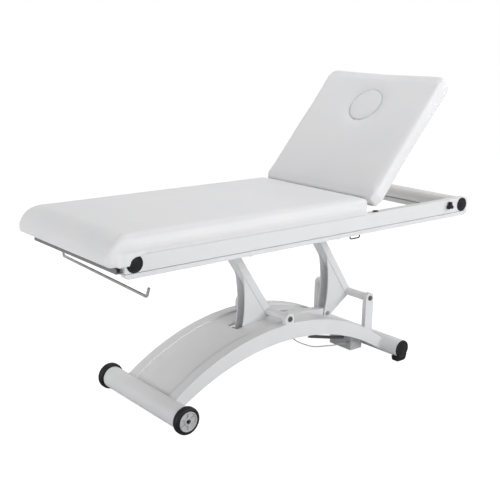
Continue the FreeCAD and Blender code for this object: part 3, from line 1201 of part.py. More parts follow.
low_lugs = []
high_lugs = []
for side, sign in SIDES:
    low, high = side_span(sign, spring_lug_inner, spring_lug_outer)
    low_lugs.append(plate("SpringLowLug", "XZ_Plane", low, high, [
        (LOW_END[0] + " - " + lug_radius, LOW_END[1], LOW_END[0], LOW_END[1], "left"),
        (LOW_END[0] + " + " + lug_radius, LOW_END[1]),
        ("beam_head + beam_width / 2", beam_low),
        (LOW_END[0] + " - " + lug_radius, beam_low),
    ], [LOW_END + ("spring_pin_radius + running_gap",)]))
    high_lugs.append(on_back(plate("SpringHighLug", "XZ_Plane", low, high, [
        (HIGH_END[0] + " - " + lug_radius, back_low),
        (HIGH_END[0] + " - " + lug_radius, HIGH_END[1], HIGH_END[0], HIGH_END[1], "left"),
        (HIGH_END[0] + " + " + lug_radius, HIGH_END[1]),
        (HIGH_END[0] + " + " + lug_radius, back_low),
    ], [HIGH_END + ("spring_pin_radius + running_gap",)])))
low_pin = move(spring_pin("SpringLowPin"), LOW_END[0], "0", LOW_END[1])
back_turn = "cos(back_angle)", "sin(back_angle)"
high_x = "hinge_place + %s * %s - %s * %s" % (HIGH_END[0], back_turn[0], HIGH_END[1], back_turn[1])
high_z = "hinge_height + %s * %s + %s * %s" % (HIGH_END[0], back_turn[1], HIGH_END[1], back_turn[0])
high_pin = move(spring_pin("SpringHighPin"), high_x, "0", high_z)
node("spring_low_lugs", group("SpringLowLugs", low_pin, *low_lugs))
node("spring_high_lugs", group("SpringHighLugs", high_pin, *high_lugs))


def on_spring(item):
    """Sets a piece drawn along X from the lower end of the gas spring into its place at rest."""
    return tilt(move(item, LOW_END[0], "0", LOW_END[1]), SPRING_ANGLE)


spring_eye = ("0", "0", "spring_eye_radius"), ("0", "0", "spring_pin_radius + running_gap")
low_eye = plate("SpringLowEye", "XZ_Plane", "-spring_eye_half", "spring_eye_half", (), spring_eye)
barrel = cylinder("SpringBarrel", "spring_radius", "spring_end - spring_eye_radius + lap",
                  "spring_eye_radius - lap", "0", "0", "X")
barrel_bore = cylinder("SpringBore", "spring_rod_radius + spring_rod_gap", "spring_end",
                       "spring_eye_radius + spring_floor", "0", "0", "X")
barrel_solid = fuse("SpringBarrelSolid", low_eye, barrel)
node("spring_barrel", on_spring(cut("SpringBarrelBored", barrel_solid, barrel_bore)))
rod_end = "(%s)" % SPRING_REST
high_eye = plate("SpringHighEye", "XZ_Plane", "-spring_eye_half", "spring_eye_half", (), [
    (rod_end, "0", "spring_eye_radius"), (rod_end, "0", "spring_pin_radius + running_gap")])
spring_rod = cylinder("SpringRod", "spring_rod_radius", "spring_rod_length - spring_eye_radius + lap",
                      rod_end + " - spring_rod_length", "0", "0", "X")
node("spring_rod", on_spring(fuse("SpringRodSolid", high_eye, spring_rod)))

# ---------------------------------------------------------------- small fittings
buffers = []
for side, sign in SIDES:
    middle = outward(sign, "rail_outer - rail_thick / 2")
    buffer = plate("Buffer", "XY_Plane", "rail_top", "rail_top + bumper_height",
                   rectangle("bumper_place - bumper_length / 2", "bumper_place + bumper_length / 2",
                             "(%s) - bumper_width / 2" % middle, "(%s) + bumper_width / 2" % middle))
    round_edges(buffer, "bumper_corner", lambda edge: edge.BoundBox.ZLength > value("bumper_height") / 2)
    buffers.append(buffer)
node("rest_buffers", group("Buffers", *buffers))

hook_y = -value("rail_outer - rail_thick / 2")
hook_left = value("hook_place - hook_span / 2")
hook_right = value("hook_place + hook_span / 2")
hook_low = value("bar_low - hook_drop")
node("wire_hook", bent_rod("WireHook", [
    Vector(hook_left, hook_y, value("bar_low")),
    Vector(hook_left, hook_y, hook_low),
    Vector(hook_right, hook_y, hook_low),
    Vector(hook_right, hook_y, value("bar_low")),
], value("hook_radius"), lambda corner: value("hook_bend")))

knob = new_body("ClampKnob")
pad(knob, "XZ_Plane", "-knob_depth", "0", (), [("0", "0", "knob_radius")])
lobe = pad(knob, "XZ_Plane", "-knob_depth", "0", (), [("0", "lobe_place", "lobe_radius")])
doc.recompute()
lobes = knob.newObject("PartDesign::PolarPattern", "Lobes")
lobes.Originals = [lobe]
lobes.Axis = ([item for item in knob.Origin.OriginFeatures if item.Role == "Y_Axis"][0], [""])
lobes.Angle = 360
lobes.Occurrences = 3
knob.Tip = lobes
move(knob, "knob_place", "-rail_outer - knob_stand", "knob_height")
stud = turned("KnobStud", [
    ("-knob_stand - lap", "0"),
    ("-knob_stand - lap", "stud_radius"),
    ("rail_wall + stud_reach", "stud_radius"),
    ("rail_wall + stud_reach", "0"),
], "knob_place", "-rail_outer", "knob_height")
node("clamp_knob", fuse("ClampKnobSolid", knob, stud))
node("clamp_nut", turned("ClampNut", ring("0", "nut_depth", "stud_radius + running_gap", "nut_radius"),
                         "knob_place", "rail_wall - rail_outer", "knob_height"))

roll_x = value("roll_place")
roll_y = value("roll_leg")
roll_top = value("bar_low + bar_wall + roll_head_gap + roll_head")
rod = bent_rod("RollRod", [
    Vector(roll_x, roll_y, roll_top),
    Vector(roll_x, roll_y, value("roll_height")),
    Vector(roll_x, value("roll_near"), value("roll_height - roll_fall")),
    Vector(roll_x, value("roll_near - roll_slant"), value("roll_height - roll_fall + roll_hook")),
], value("roll_radius"), lambda corner: value("roll_bend"))
rod_head = cylinder("RollHead", "roll_radius + roll_head_lip", "roll_head", "roll_place", "roll_leg",
                    "bar_low + bar_wall + roll_head_gap", "Z")
node("roll_rod", fuse("RollRodSolid", rod, rod_head))
node("roll_socket", plate("RollSocket", "XY_Plane", "bar_low - socket_length", "bar_low", (), [
    ("roll_place", "roll_leg", "roll_radius + socket_wall"),
    ("roll_place", "roll_leg", "roll_radius + running_gap")]))

# ---------------------------------------------------------------- checking and writing
doc.recompute()
for item in doc.Objects:
    if "Invalid" in item.State or "Error" in item.State:
        raise ValueError("%s (%s) failed: %s" % (item.Label, item.Name, item.getStatusString()))
for item in NODES:
    if item.Shape.isNull() or not item.Shape.isValid() or item.Shape.Volume <= 0:
        raise ValueError("%s has no valid shape" % item.Label)
os.makedirs("parts", exist_ok=True)
for item in NODES:
    item.Shape.exportStep("parts/%s.step" % item.Label)
    box = item.Shape.BoundBox
    print("%-22s %2d solids  X %7.1f %7.1f  Y %7.1f %7.1f  Z %6.1f %6.1f" % (
        item.Label, len(item.Shape.Solids), box.XMin, box.XMax, box.YMin, box.YMax, box.ZMin, box.ZMax))
print(len(NODES), "nodes")
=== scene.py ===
import json
import math

import bmesh
import bpy
from mathutils import Matrix, Vector


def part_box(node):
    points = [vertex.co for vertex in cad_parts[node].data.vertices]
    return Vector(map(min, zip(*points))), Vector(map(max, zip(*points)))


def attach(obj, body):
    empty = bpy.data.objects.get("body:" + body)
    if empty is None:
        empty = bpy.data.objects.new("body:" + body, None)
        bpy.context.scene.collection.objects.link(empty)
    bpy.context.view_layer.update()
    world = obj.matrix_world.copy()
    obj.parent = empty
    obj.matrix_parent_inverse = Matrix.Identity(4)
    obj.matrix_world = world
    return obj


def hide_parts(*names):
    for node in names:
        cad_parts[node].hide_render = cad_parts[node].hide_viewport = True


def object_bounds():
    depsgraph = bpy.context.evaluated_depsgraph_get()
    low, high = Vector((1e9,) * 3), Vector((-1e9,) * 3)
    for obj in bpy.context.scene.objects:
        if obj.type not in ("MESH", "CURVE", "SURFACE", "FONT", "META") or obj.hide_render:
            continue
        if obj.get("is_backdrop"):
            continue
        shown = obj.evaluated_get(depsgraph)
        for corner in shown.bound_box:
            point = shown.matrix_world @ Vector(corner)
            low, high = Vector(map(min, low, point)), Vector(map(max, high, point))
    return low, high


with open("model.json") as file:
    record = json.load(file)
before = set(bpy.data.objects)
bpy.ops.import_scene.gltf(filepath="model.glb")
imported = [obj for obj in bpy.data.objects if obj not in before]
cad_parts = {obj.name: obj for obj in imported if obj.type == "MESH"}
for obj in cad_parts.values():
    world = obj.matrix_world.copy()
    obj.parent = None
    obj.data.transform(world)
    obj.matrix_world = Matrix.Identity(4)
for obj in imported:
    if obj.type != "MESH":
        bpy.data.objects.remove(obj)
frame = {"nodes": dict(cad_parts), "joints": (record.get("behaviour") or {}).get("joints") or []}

scene = bpy.context.scene
nodes = frame["nodes"]
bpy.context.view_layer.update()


# ---- Camera and room ----------------------------------------------------------------------------
# A small studio: a long lens at standing height near the foot end, a pale floor and a white
# surround. The strongest of five large soft lamps stands on the near side, so the near flanks are
# brighter than the tops.
class Shade:
    """A number or colour in one material's node tree. Arithmetic on it adds Math nodes."""

    def __init__(self, tree, socket=None):
        self.tree = tree
        self.socket = socket

    def node(self, kind, settings=None, sockets=None, output=0):
        """Adds a node, with its settings first and then its sockets, and returns one of its outputs."""
        made = self.tree.nodes.new(kind)
        for name, setting in (settings or {}).items():
            setattr(made, name, setting)
        for name, value in (sockets or {}).items():
            if isinstance(value, Shade):
                self.tree.links.new(value.socket, made.inputs[name])
            else:
                made.inputs[name].default_value = value
        return Shade(self.tree, made.outputs[output] if made.outputs else None)

    def maths(self, operation, first, second):
        return self.node("ShaderNodeMath", {"operation": operation}, {0: first, 1: second})

    def __add__(self, other):
        return self.maths("ADD", self, other)

    def __mul__(self, other):
        return self.maths("MULTIPLY", self, other)

    __radd__ = __add__
    __rmul__ = __mul__


CAMERA_PLACE = Vector((-2.223, -2.563, 1.405))
CAMERA_YAW = math.radians(50.16)
CAMERA_PITCH = math.radians(14.37)
CAMERA_ROLL = math.radians(0.97)
FOCAL_LENGTH = 62.08

camera = bpy.data.objects.new("camera", bpy.data.cameras.new("camera"))
camera.data.lens = FOCAL_LENGTH
camera.data.sensor_width = 36.0
camera.matrix_world = (
    Matrix.Translation(CAMERA_PLACE)
    @ Matrix.Rotation(CAMERA_YAW - math.pi / 2, 4, "Z")
    @ Matrix.Rotation(math.pi / 2 - CAMERA_PITCH, 4, "X")
    @ Matrix.Rotation(CAMERA_ROLL, 4, "Z")
)
scene.collection.objects.link(camera)
scene.camera = camera
scene.view_settings.view_transform = "Standard"

FLOOR_HALF = 30.0
floor_mesh = bpy.data.meshes.new("floor")
floor_corners = [(x * FLOOR_HALF, y * FLOOR_HALF, 0) for x, y in ((-1, -1), (1, -1), (1, 1), (-1, 1))]
floor_mesh.from_pydata(floor_corners, [], [(0, 1, 2, 3)])
floor = bpy.data.objects.new("floor", floor_mesh)
scene.collection.objects.link(floor)
floor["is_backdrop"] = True

# The camera sees a white that only the bed's shadow darkens. Other rays meet a matt pale floor.
FLOOR_COLOUR = (0.80, 0.80, 0.80, 1)
FLOOR_GLOW = 1.45
FLOOR_SHARE = 0.66
floor_material = bpy.data.materials.new("studio_floor")
floor_material.use_nodes = True
floor_material.node_tree.nodes.clear()
paint = Shade(floor_material.node_tree)
camera_ray = paint.node("ShaderNodeLightPath", output=0)
lit = paint.node("ShaderNodeBsdfDiffuse", sockets={"Color": FLOOR_COLOUR})
glow = paint.node("ShaderNodeEmission", sockets={"Color": (1, 1, 1, 1), "Strength": FLOOR_GLOW})
seen = paint.node("ShaderNodeMixShader", sockets={0: camera_ray * FLOOR_SHARE, 1: lit, 2: glow})
paint.node("ShaderNodeOutputMaterial", sockets={"Surface": seen})
floor_mesh.materials.append(floor_material)

# The surround gives a dim even light, and the camera and mirror-like surfaces see it plain white.
SURROUND = 0.23
world = bpy.data.worlds.new("studio")
scene.world = world
world.use_nodes = True
world.node_tree.nodes.clear()
sky = Shade(world.node_tree)
ray_kinds = world.node_tree.nodes.new("ShaderNodeLightPath")
rays = [Shade(world.node_tree, ray_kinds.outputs[name])
        for name in ("Is Camera Ray", "Is Glossy Ray", "Is Transmission Ray")]
shown = sky.node("ShaderNodeMath", {"operation": "ADD", "use_clamp": True}, {0: rays[0], 1: rays[2]})
shown = sky.node("ShaderNodeMath", {"operation": "ADD", "use_clamp": True}, {0: shown, 1: rays[1]})
surround = sky.node("ShaderNodeBackground", sockets={"Color": (1, 1, 1, 1), "Strength": SURROUND})
white = sky.node("ShaderNodeBackground", sockets={"Color": (1, 1, 1, 1), "Strength": 1.0})
sky.node("ShaderNodeOutputWorld", sockets={
    "Surface": sky.node("ShaderNodeMixShader", sockets={0: shown, 1: surround, 2: white})})


def soft_lamp(name, place, aim, width, height, power):
    """A rectangular lamp at a place, aimed at another, of a size in metres and a power in watts."""
    lamp = bpy.data.lights.new(name, "AREA")
    lamp.shape = "RECTANGLE"
    lamp.size = width
    lamp.size_y = height
    lamp.energy = power
    stand = bpy.data.objects.new(name, lamp)
    stand.location = place
    stand.rotation_euler = (Vector(aim) - Vector(place)).to_track_quat("-Z", "Y").to_euler()
    scene.collection.objects.link(stand)


soft_lamp("key_lamp", (1.3, -4.1, 2.2), (0.0, 0.0, 0.5), 3.4, 1.8, 98)
soft_lamp("side_lamp", (-1.8, -3.9, 1.6), (0.0, 0.0, 0.5), 2.4, 1.8, 21)
soft_lamp("foot_lamp", (-3.8, 0.4, 0.75), (0.0, 0.0, 0.4), 2.6, 1.3, 41)
soft_lamp("top_lamp", (0.4, 1.2, 3.7), (0.0, 0.0, 0.4), 3.0, 3.0, 46)
soft_lamp("head_lamp", (3.6, -1.2, 2.4), (0.0, 0.0, 0.5), 2.6, 2.0, 27)


# ---- Control lead -------------------------------------------------------------------------------
# The flexible lead from the control box to the lifting motor: a grey sheath of 5 mm, held by a
# ribbed gland on the box and by a moulded clip screwed inside the near side member.
LEAD_DIAMETER = 0.005
LEAD_ROUTE = (
    (0.398, -0.104, 0.080), (0.374, -0.104, 0.080), (0.345, -0.107, 0.086), (0.300, -0.109, 0.090),
    (0.255, -0.109, 0.098), (0.210, -0.108, 0.104), (0.168, -0.107, 0.115), (0.130, -0.106, 0.133),
    (0.092, -0.107, 0.152), (0.062, -0.108, 0.176), (0.042, -0.108, 0.192), (0.026, -0.108, 0.194))


def finished(name, colour, roughness, metallic=0.0, coat=0.0, specular=0.5):
    """A new material with a Principled shader, and the Shade and the shader node that build on it."""
    material = bpy.data.materials.new(name)
    material.use_nodes = True
    shader = material.node_tree.nodes["Principled BSDF"]
    shader.inputs["Base Color"].default_value = (*colour, 1)
    shader.inputs["Roughness"].default_value = roughness
    shader.inputs["Metallic"].default_value = metallic
    shader.inputs["Coat Weight"].default_value = coat
    shader.inputs["Specular IOR Level"].default_value = specular
    return material, Shade(material.node_tree), shader


def noise(shade, scale, detail=3.0, roughness=0.5, stretch=(1, 1, 1)):
    """Noise on the piece's own coordinates, in features of about 1 / scale metres."""
    place = shade.node("ShaderNodeTexCoord", output=3)
    place = shade.node("ShaderNodeMapping", sockets={"Vector": place, "Scale": stretch})
    return shade.node("ShaderNodeTexNoise", sockets={
        "Vector": place, "Scale": scale, "Detail": detail, "Roughness": roughness})


def between(shade, mask, first, second):
    """A colour between two, by a mask from 0 to 1."""
    return shade.node("ShaderNodeMix", {"data_type": "RGBA"}, {
        0: mask, 6: first if isinstance(first, Shade) else (*first, 1),
        7: second if isinstance(second, Shade) else (*second, 1)}, output=2)


def spread(shade, value, low, high, top=1.0):
    """A value between low and high, brought to 0 to top."""
    return shade.node("ShaderNodeMapRange", sockets={
        "Value": value, "From Min": low, "From Max": high, "To Max": top})


def relief(shade, shader, height, distance, strength=1.0, edge=0.0):
    """Raises the surface by this height times the distance in metres, on edges rounded by edge."""
    sockets = {"Height": height, "Distance": distance, "Strength": strength}
    if edge:
        sockets["Normal"] = shade.node("ShaderNodeBevel", {"samples": 4}, {"Radius": edge})
    bump = shade.node("ShaderNodeBump", sockets=sockets)
    shade.tree.links.new(bump.socket, shader.inputs["Normal"])


def joined(shade, shader, **inputs):
    """Links Shades to the shader's sockets by name."""
    for name, value in inputs.items():
        shade.tree.links.new(value.socket, shader.inputs[name.replace("_", " ")])


def moulded(name, colour, roughness, grain, bloom, specular=0.5, edge=0.0):
    """Moulded plastic or rubber: a fine spark-eroded grain, and a bloom of pale dust in places."""
    material, shade, shader = finished(name, colour, roughness, specular=specular)
    pale = tuple(channel * 1.1 + 0.05 for channel in colour)
    dusty = spread(shade, noise(shade, 24.0, 5.0), 0.45, 0.8, bloom)
    joined(shade, shader, Base_Color=between(shade, dusty, colour, pale),
           Roughness=noise(shade, 140.0) * 0.2 + (roughness - 0.1))
    relief(shade, shader, noise(shade, grain, 2.0), 0.00015, 0.7, edge)
    return material


def dress(material, *names):
    """Gives CAD nodes this material in place of their plain one."""
    for name in names:
        for place in nodes[name].material_slots:
            place.material = material


def placed(piece, material, body, slot, *stands_for):
    """Gives a piece its material and its body, and hides the nodes it stands for. The slot is not used."""
    scene.collection.objects.link(piece)
    piece.data.materials.clear()
    piece.data.materials.append(material)
    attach(piece, body)
    if stands_for:
        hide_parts(*stands_for)
    return piece


def solid(name, work, smooth_angle=32.0):
    """An object from finished bmesh work: outward normals, and smooth shading between sharp edges."""
    bmesh.ops.remove_doubles(work, verts=work.verts, dist=1e-6)
    bmesh.ops.recalc_face_normals(work, faces=work.faces)
    mesh = bpy.data.meshes.new(name)
    work.to_mesh(mesh)
    work.free()
    mesh.polygons.foreach_set("use_smooth", [True] * len(mesh.polygons))
    mesh.set_sharp_from_angle(angle=math.radians(smooth_angle))
    return bpy.data.objects.new(name, mesh)


def turn_profile(work, profile, centre, way, steps=64):
    """Adds a turned solid: (distance along the axis, radius) points spun about the axis."""
    way = Vector(way)
    side = way.orthogonal().normalized()
    points = [work.verts.new(Vector(centre) + way * along + side * radius) for along, radius in profile]
    lines = [work.edges.new(pair) for pair in zip(points, points[1:])]
    bmesh.ops.spin(work, geom=points + lines, cent=Vector(centre), axis=way, angle=2 * math.pi,
                   steps=steps, use_merge=True)


def hull(work, corners):
    """Adds the smallest closed solid that holds these corners."""
    bmesh.ops.convex_hull(work, input=[work.verts.new(corner) for corner in corners])


lead_curve = bpy.data.curves.new("control_lead_line", "CURVE")
lead_curve.dimensions = "3D"
lead_line = lead_curve.splines.new("NURBS")
lead_line.points.add(len(LEAD_ROUTE) - 1)
for point, spot in zip(lead_line.points, LEAD_ROUTE):
    point.co = (*spot, 1)
lead_line.order_u = 3
lead_line.use_endpoint_u = True
lead_curve.resolution_u = 16
lead_curve.bevel_depth = LEAD_DIAMETER / 2
lead_curve.bevel_resolution = 5
lead_curve.use_fill_caps = True
lead_sheath = moulded("lead_sheath", (0.42, 0.42, 0.43), 0.5, 1500.0, 0.1)
lead = placed(bpy.data.objects.new("control_lead_line", lead_curve), lead_sheath, "base", "lead_sheath",
              "control_lead")

black_plastic = moulded("black_moulded_plastic", (0.007, 0.007, 0.008), 0.45, 1400.0, 0.14, 0.22, 0.0012)
GLAND_HEAD = 0.0055
GLAND_TIP = 0.0036
GLAND_NECK = 0.0029
GLAND_NUT = 0.006
GLAND_RIBS = 5
GLAND_PITCH = 0.0038
GLAND_RIB = 0.0028
GLAND_EDGE = 0.0006
gland_low, gland_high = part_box("lead_fittings")
gland_end = gland_high.x
gland_line = Vector((0, LEAD_ROUTE[0][1], LEAD_ROUTE[0][2]))
gland_profile = [(gland_end, 0), (gland_end, GLAND_HEAD), (gland_end - GLAND_NUT + 0.001, GLAND_HEAD),
                 (gland_end - GLAND_NUT, GLAND_HEAD - 0.001)]
for rib in range(GLAND_RIBS):
    start = gland_end - GLAND_NUT - 0.001 - GLAND_PITCH * rib
    crest = GLAND_HEAD - 0.0008 + (GLAND_TIP - GLAND_HEAD) * rib / GLAND_RIBS
    gland_profile += [(start, GLAND_NECK), (start - GLAND_EDGE, crest),
                      (start - GLAND_RIB + GLAND_EDGE, crest), (start - GLAND_RIB, GLAND_NECK)]
gland_profile += [(start - GLAND_PITCH, GLAND_NECK), (start - GLAND_PITCH, 0)]
work = bmesh.new()
turn_profile(work, gland_profile, gland_line, (1, 0, 0), 32)
gland_grey = moulded("gland_grey", (0.33, 0.33, 0.34), 0.5, 1400.0, 0.1, 0.2, 0.0008)
gland = placed(solid("lead_gland", work), gland_grey, "base", "black_plastic", "lead_fittings")

# The clip is a sleeve round the lead with a flat foot against the side member, and a screw.
CLIP_SLEEVE = 0.0048
CLIP_EDGE = 0.0008
CLIP_FOOT = 0.003
CLIP_LENGTH = 0.014
clip_wall = gland_low.y
clip_ends = gland_low.x, gland_low.x + CLIP_LENGTH
clip_line = Vector((0, LEAD_ROUTE[-1][1], LEAD_ROUTE[-1][2]))
work = bmesh.new()
turn_profile(work, [
    (clip_ends[0], 0), (clip_ends[0], CLIP_SLEEVE - CLIP_EDGE), (clip_ends[0] + CLIP_EDGE, CLIP_SLEEVE),
    (clip_ends[1] - CLIP_EDGE, CLIP_SLEEVE), (clip_ends[1], CLIP_SLEEVE - CLIP_EDGE), (clip_ends[1], 0)],
    clip_line, (1, 0, 0), 32)
hull(work, [(x, y, z) for x in clip_ends for y in (clip_wall, clip_wall + CLIP_FOOT)
            for z in (clip_line.z - 0.004, gland_high.z)])
turn_profile(work, [(CLIP_FOOT, 0), (CLIP_FOOT, 0.0032), (0.0042, 0.0028), (0.0048, 0.0014), (0.0048, 0)],
             (sum(clip_ends) / 2, clip_wall, gland_high.z - 0.004), (0, 1, 0), 24)
clip = placed(solid("lead_clip", work), black_plastic, "base", "black_plastic")


# ---- Arched base, arms and top frame ------------------------------------------------------------
# Every steel member: sheet and tube, welded up and then powder coated a cool white, with a fine
# orange-peel skin, slightly rounded edges, and a faint greying where dust settles.
def powder_coat(name, colour, roughness=0.4):
    material, shade, shader = finished(name, colour, roughness, coat=0.12)
    dust = spread(shade, noise(shade, 7.0, 4.0), 0.42, 0.75, 0.35)
    dusty = tuple(channel * 0.92 for channel in colour)
    joined(shade, shader, Base_Color=between(shade, dust, colour, dusty),
           Roughness=noise(shade, 60.0) * 0.12 + (roughness - 0.06))
    relief(shade, shader, noise(shade, 700.0, 2.0), 0.00012, 0.6, 0.0028)
    return material


WHITE_PAINT = (0.79, 0.795, 0.81)
white_paint = powder_coat("white_powder_coat", WHITE_PAINT)
dress(white_paint, "side_member_near", "side_member_far", "deck_plate", "front_cross_tube",
      "rear_cross_tube", "base_pivot_ears", "actuator_bracket")
dress(white_paint, "front_arm_strut", "front_arm_webs", "front_arm_lower_tube", "front_arm_upper_tube",
      "rear_arm_strut", "rear_arm_webs", "rear_arm_lower_tube", "rear_arm_upper_tube", "tie_bar")
dress(white_paint, "side_rail_near", "side_rail_far", "lower_bars", "end_cross_tubes", "frame_beams",
      "stringers", "top_pivot_ears", "spring_low_lugs", "spring_high_lugs", "roll_socket")


# ---- Painted shade at the foot end --------------------------------------------------------------
# A dark grey channel on the foot-end tube of the top frame. It is painted shade: it stands for the
# shadow that the overhanging seat pad casts on the white tube. Its lip stands forward under the nose of the
# seat pad.
def lofted(work, rings, capped=True):
    """Adds a solid through rings of points, each ring joined to the next, and both ends capped."""
    rings = [[work.verts.new(point) for point in ring] for ring in rings]
    for before, after in zip(rings, rings[1:]):
        for place in range(len(before)):
            work.faces.new((before[place - 1], before[place], after[place], after[place - 1]))
    if capped:
        work.faces.new(rings[0])
        work.faces.new(list(reversed(rings[-1])))


def extruded(work, outline, first, last):
    """Adds a solid whose outline of (x, z) points runs along Y from the first place to the last."""
    lofted(work, [[(x, y, z) for x, z in outline] for y in (first, last)])


SHADE_STRIP_LIP = 0.034
SHADE_STRIP_LOW = 0.028
SHADE_STRIP_HIGH = 0.019
SHADE_STRIP_WALL = 0.003
SHADE_STRIP_FLOOR = 0.0025
SHADE_STRIP_BACK = 0.010
BACK_REACH = 0.262
SHELF_REACH = 0.284
# This dark grey is painted shade, for the shadow under the seat pad's nose.
painted_shade_grey = moulded("painted_shade_grey", (0.22, 0.22, 0.225), 0.5, 1400.0, 0.1, 0.2, 0.002)
tube_low, tube_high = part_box("end_cross_tubes")
tube_face = tube_low.x + 0.0004
tube_middle = (tube_low.z + tube_high.z) / 2
lip_face = tube_face - SHADE_STRIP_LIP
lip_low = tube_middle - SHADE_STRIP_LOW
lip_high = lip_low + SHADE_STRIP_HIGH
work = bmesh.new()
extruded(work, [
    (tube_face, lip_low), (tube_face, tube_middle), (tube_face - SHADE_STRIP_WALL, tube_middle),
    (tube_face - SHADE_STRIP_WALL, lip_low + SHADE_STRIP_FLOOR), (tube_face - SHADE_STRIP_BACK, lip_low + SHADE_STRIP_FLOOR),
    (tube_face - SHADE_STRIP_BACK, lip_low)], -BACK_REACH, BACK_REACH)
shelf_end = tube_face - SHADE_STRIP_BACK + 0.0005
extruded(work, [
    (shelf_end, lip_low), (shelf_end, lip_low + SHADE_STRIP_FLOOR), (lip_face + SHADE_STRIP_WALL, lip_low + SHADE_STRIP_FLOOR),
    (lip_face + SHADE_STRIP_WALL, lip_high), (lip_face + 0.0005, lip_high), (lip_face, lip_high - 0.001),
    (lip_face, lip_low + 0.001), (lip_face + 0.001, lip_low)], -SHELF_REACH, SHELF_REACH)
placed(solid("foot_trim", work), painted_shade_grey, "top_frame", "grey_plastic")


# ---- Weld beads ---------------------------------------------------------------------------------
# The fillet welds of the frame under its paint: rounded beads with the ripple of a hand torch,
# round the side members on the cross tubes, on the arms, and where the end tubes meet the rails.
BEAD_RADIUS = 0.0026
BEAD_STEP = 0.0016


def geometry_tree(name, **inputs):
    """A new tree of geometry nodes, as a Shade to build on and a Shade of each of its named inputs."""
    tree = bpy.data.node_groups.new(name, "GeometryNodeTree")
    for label, kind in inputs.items():
        tree.interface.new_socket(label, in_out="INPUT", socket_type="NodeSocket" + kind)
    tree.interface.new_socket("Shape", in_out="OUTPUT", socket_type="NodeSocketGeometry")
    given = tree.nodes.new("NodeGroupInput")
    return Shade(tree), [Shade(tree, given.outputs[place]) for place in range(len(inputs))]


def bead_tree():
    """Geometry nodes that turn lines into weld beads: even steps, a rippled radius, a round section."""
    shade, (lines, radius, step, seed, paint) = geometry_tree(
        "WeldBead", Lines="Geometry", Radius="Float", Step="Float", Seed="Int", Paint="Material")
    even = shade.node("GeometryNodeResampleCurve", {"mode": "LENGTH"}, {"Curve": lines, "Length": step})
    ripple = shade.node("FunctionNodeRandomValue", {"data_type": "FLOAT"},
                        {2: 0.78, 3: 1.12, "Seed": seed}, output=1)
    section = shade.node("GeometryNodeCurvePrimitiveCircle", {"mode": "RADIUS"},
                         {"Resolution": 8, "Radius": 1.0})
    skin = shade.node("GeometryNodeCurveToMesh", None,
                      {"Curve": even, "Profile Curve": section, "Scale": ripple * radius, "Fill Caps": True})
    soft = shade.node("GeometryNodeSetShadeSmooth", None, {"Geometry": skin})
    painted = shade.node("GeometryNodeSetMaterial", None, {"Geometry": soft, "Material": paint})
    shade.node("NodeGroupOutput", None, {"Shape": painted})
    return shade.tree


def worked_out(piece, tree, **inputs):
    """Runs a node tree on a piece with these inputs, and returns the result as a plain mesh."""
    modifier = piece.modifiers.new(tree.name, "NODES")
    modifier.node_group = tree
    for item in tree.interface.items_tree:
        if item.in_out == "INPUT" and item.name in inputs:
            modifier[item.identifier] = inputs[item.name]
    piece.update_tag()
    shape = piece.evaluated_get(bpy.context.evaluated_depsgraph_get())
    mesh = bpy.data.meshes.new_from_object(shape)
    piece.modifiers.clear()
    return mesh


WELD_BEAD = bead_tree()


def weld(name, body, seed, lines):
    """Beads along these lines of points, as one piece on a body."""
    curve = bpy.data.curves.new(name, "CURVE")
    curve.dimensions = "3D"
    for points in lines:
        spline = curve.splines.new("POLY")
        spline.points.add(len(points) - 1)
        for spot, point in zip(spline.points, points):
            spot.co = (*point, 1)
    holder = bpy.data.objects.new(name + "_lines", curve)
    scene.collection.objects.link(holder)
    mesh = worked_out(holder, WELD_BEAD, Radius=BEAD_RADIUS, Step=BEAD_STEP, Seed=seed, Paint=white_paint)
    bpy.data.objects.remove(holder)
    mesh.name = name
    placed(bpy.data.objects.new(name, mesh), white_paint, body, "white_paint")


def arc(centre, radius, first, last, y, steps=24):
    """Points of an arc about a line along Y, with angles in degrees from +X towards +Z."""
    angles = [math.radians(first + (last - first) * step / steps) for step in range(steps + 1)]
    return [(centre.x + radius * math.cos(angle), y, centre.z + radius * math.sin(angle))
            for angle in angles]


def middle(node):
    """The middle of a node's box."""
    low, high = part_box(node)
    return (low + high) / 2


# Each cross tube has the radius of its beads, and the two angles where a side member's edges meet it.
TUBE_BEADS = (("front_cross_tube", 0.0432, -13.5, 57.0), ("rear_cross_tube", 0.0392, 215.5, 129.0))
member_faces = [side * corner.y for side in (-1, 1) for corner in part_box("side_member_far")]
base_beads = []
for tube, radius, first, last in TUBE_BEADS:
    base_beads += [arc(middle(tube), radius, first, last, y) for y in member_faces]
    for side in (-1, 1):
        edge = sorted(side * abs(y) for y in member_faces if y * side > 0)
        for angle in (first, last):
            across = arc(middle(tube), radius, angle, angle, edge[0], 1)[0]
            base_beads.append([across, (across[0], edge[1], across[2])])
weld("base_welds", "base", 11, base_beads)

STRUT_HALF_WIDTH = 0.015
STRUT_HALF_DEPTH = 0.028
WEB_FACE = 0.025
WEB_BEAD_ENDS = (0.012, 0.222)
PIVOT_TUBE = 0.017
BEAD_SET = 0.0004
for arm in ("front_arm", "rear_arm"):
    foot = middle(arm + "_lower_tube")
    head = middle(arm + "_upper_tube")
    along = (head - foot).normalized()
    across = Vector((along.z, 0, -along.x))
    lean = math.degrees(math.atan2(along.z, along.x))
    beads = []
    for y in (-STRUT_HALF_DEPTH, STRUT_HALF_DEPTH):
        beads.append(arc(foot, PIVOT_TUBE + BEAD_SET, lean - 60, lean + 60, y))
        beads.append(arc(head, PIVOT_TUBE + BEAD_SET, lean + 120, lean + 240, y))
    spots = [foot + along * reach - across * (STRUT_HALF_WIDTH + BEAD_SET / 2) for reach in WEB_BEAD_ENDS]
    for y in (-WEB_FACE, WEB_FACE):
        beads.append([(spot.x, y, spot.z) for spot in spots])
    weld(arm + "_welds", arm, 23, beads)

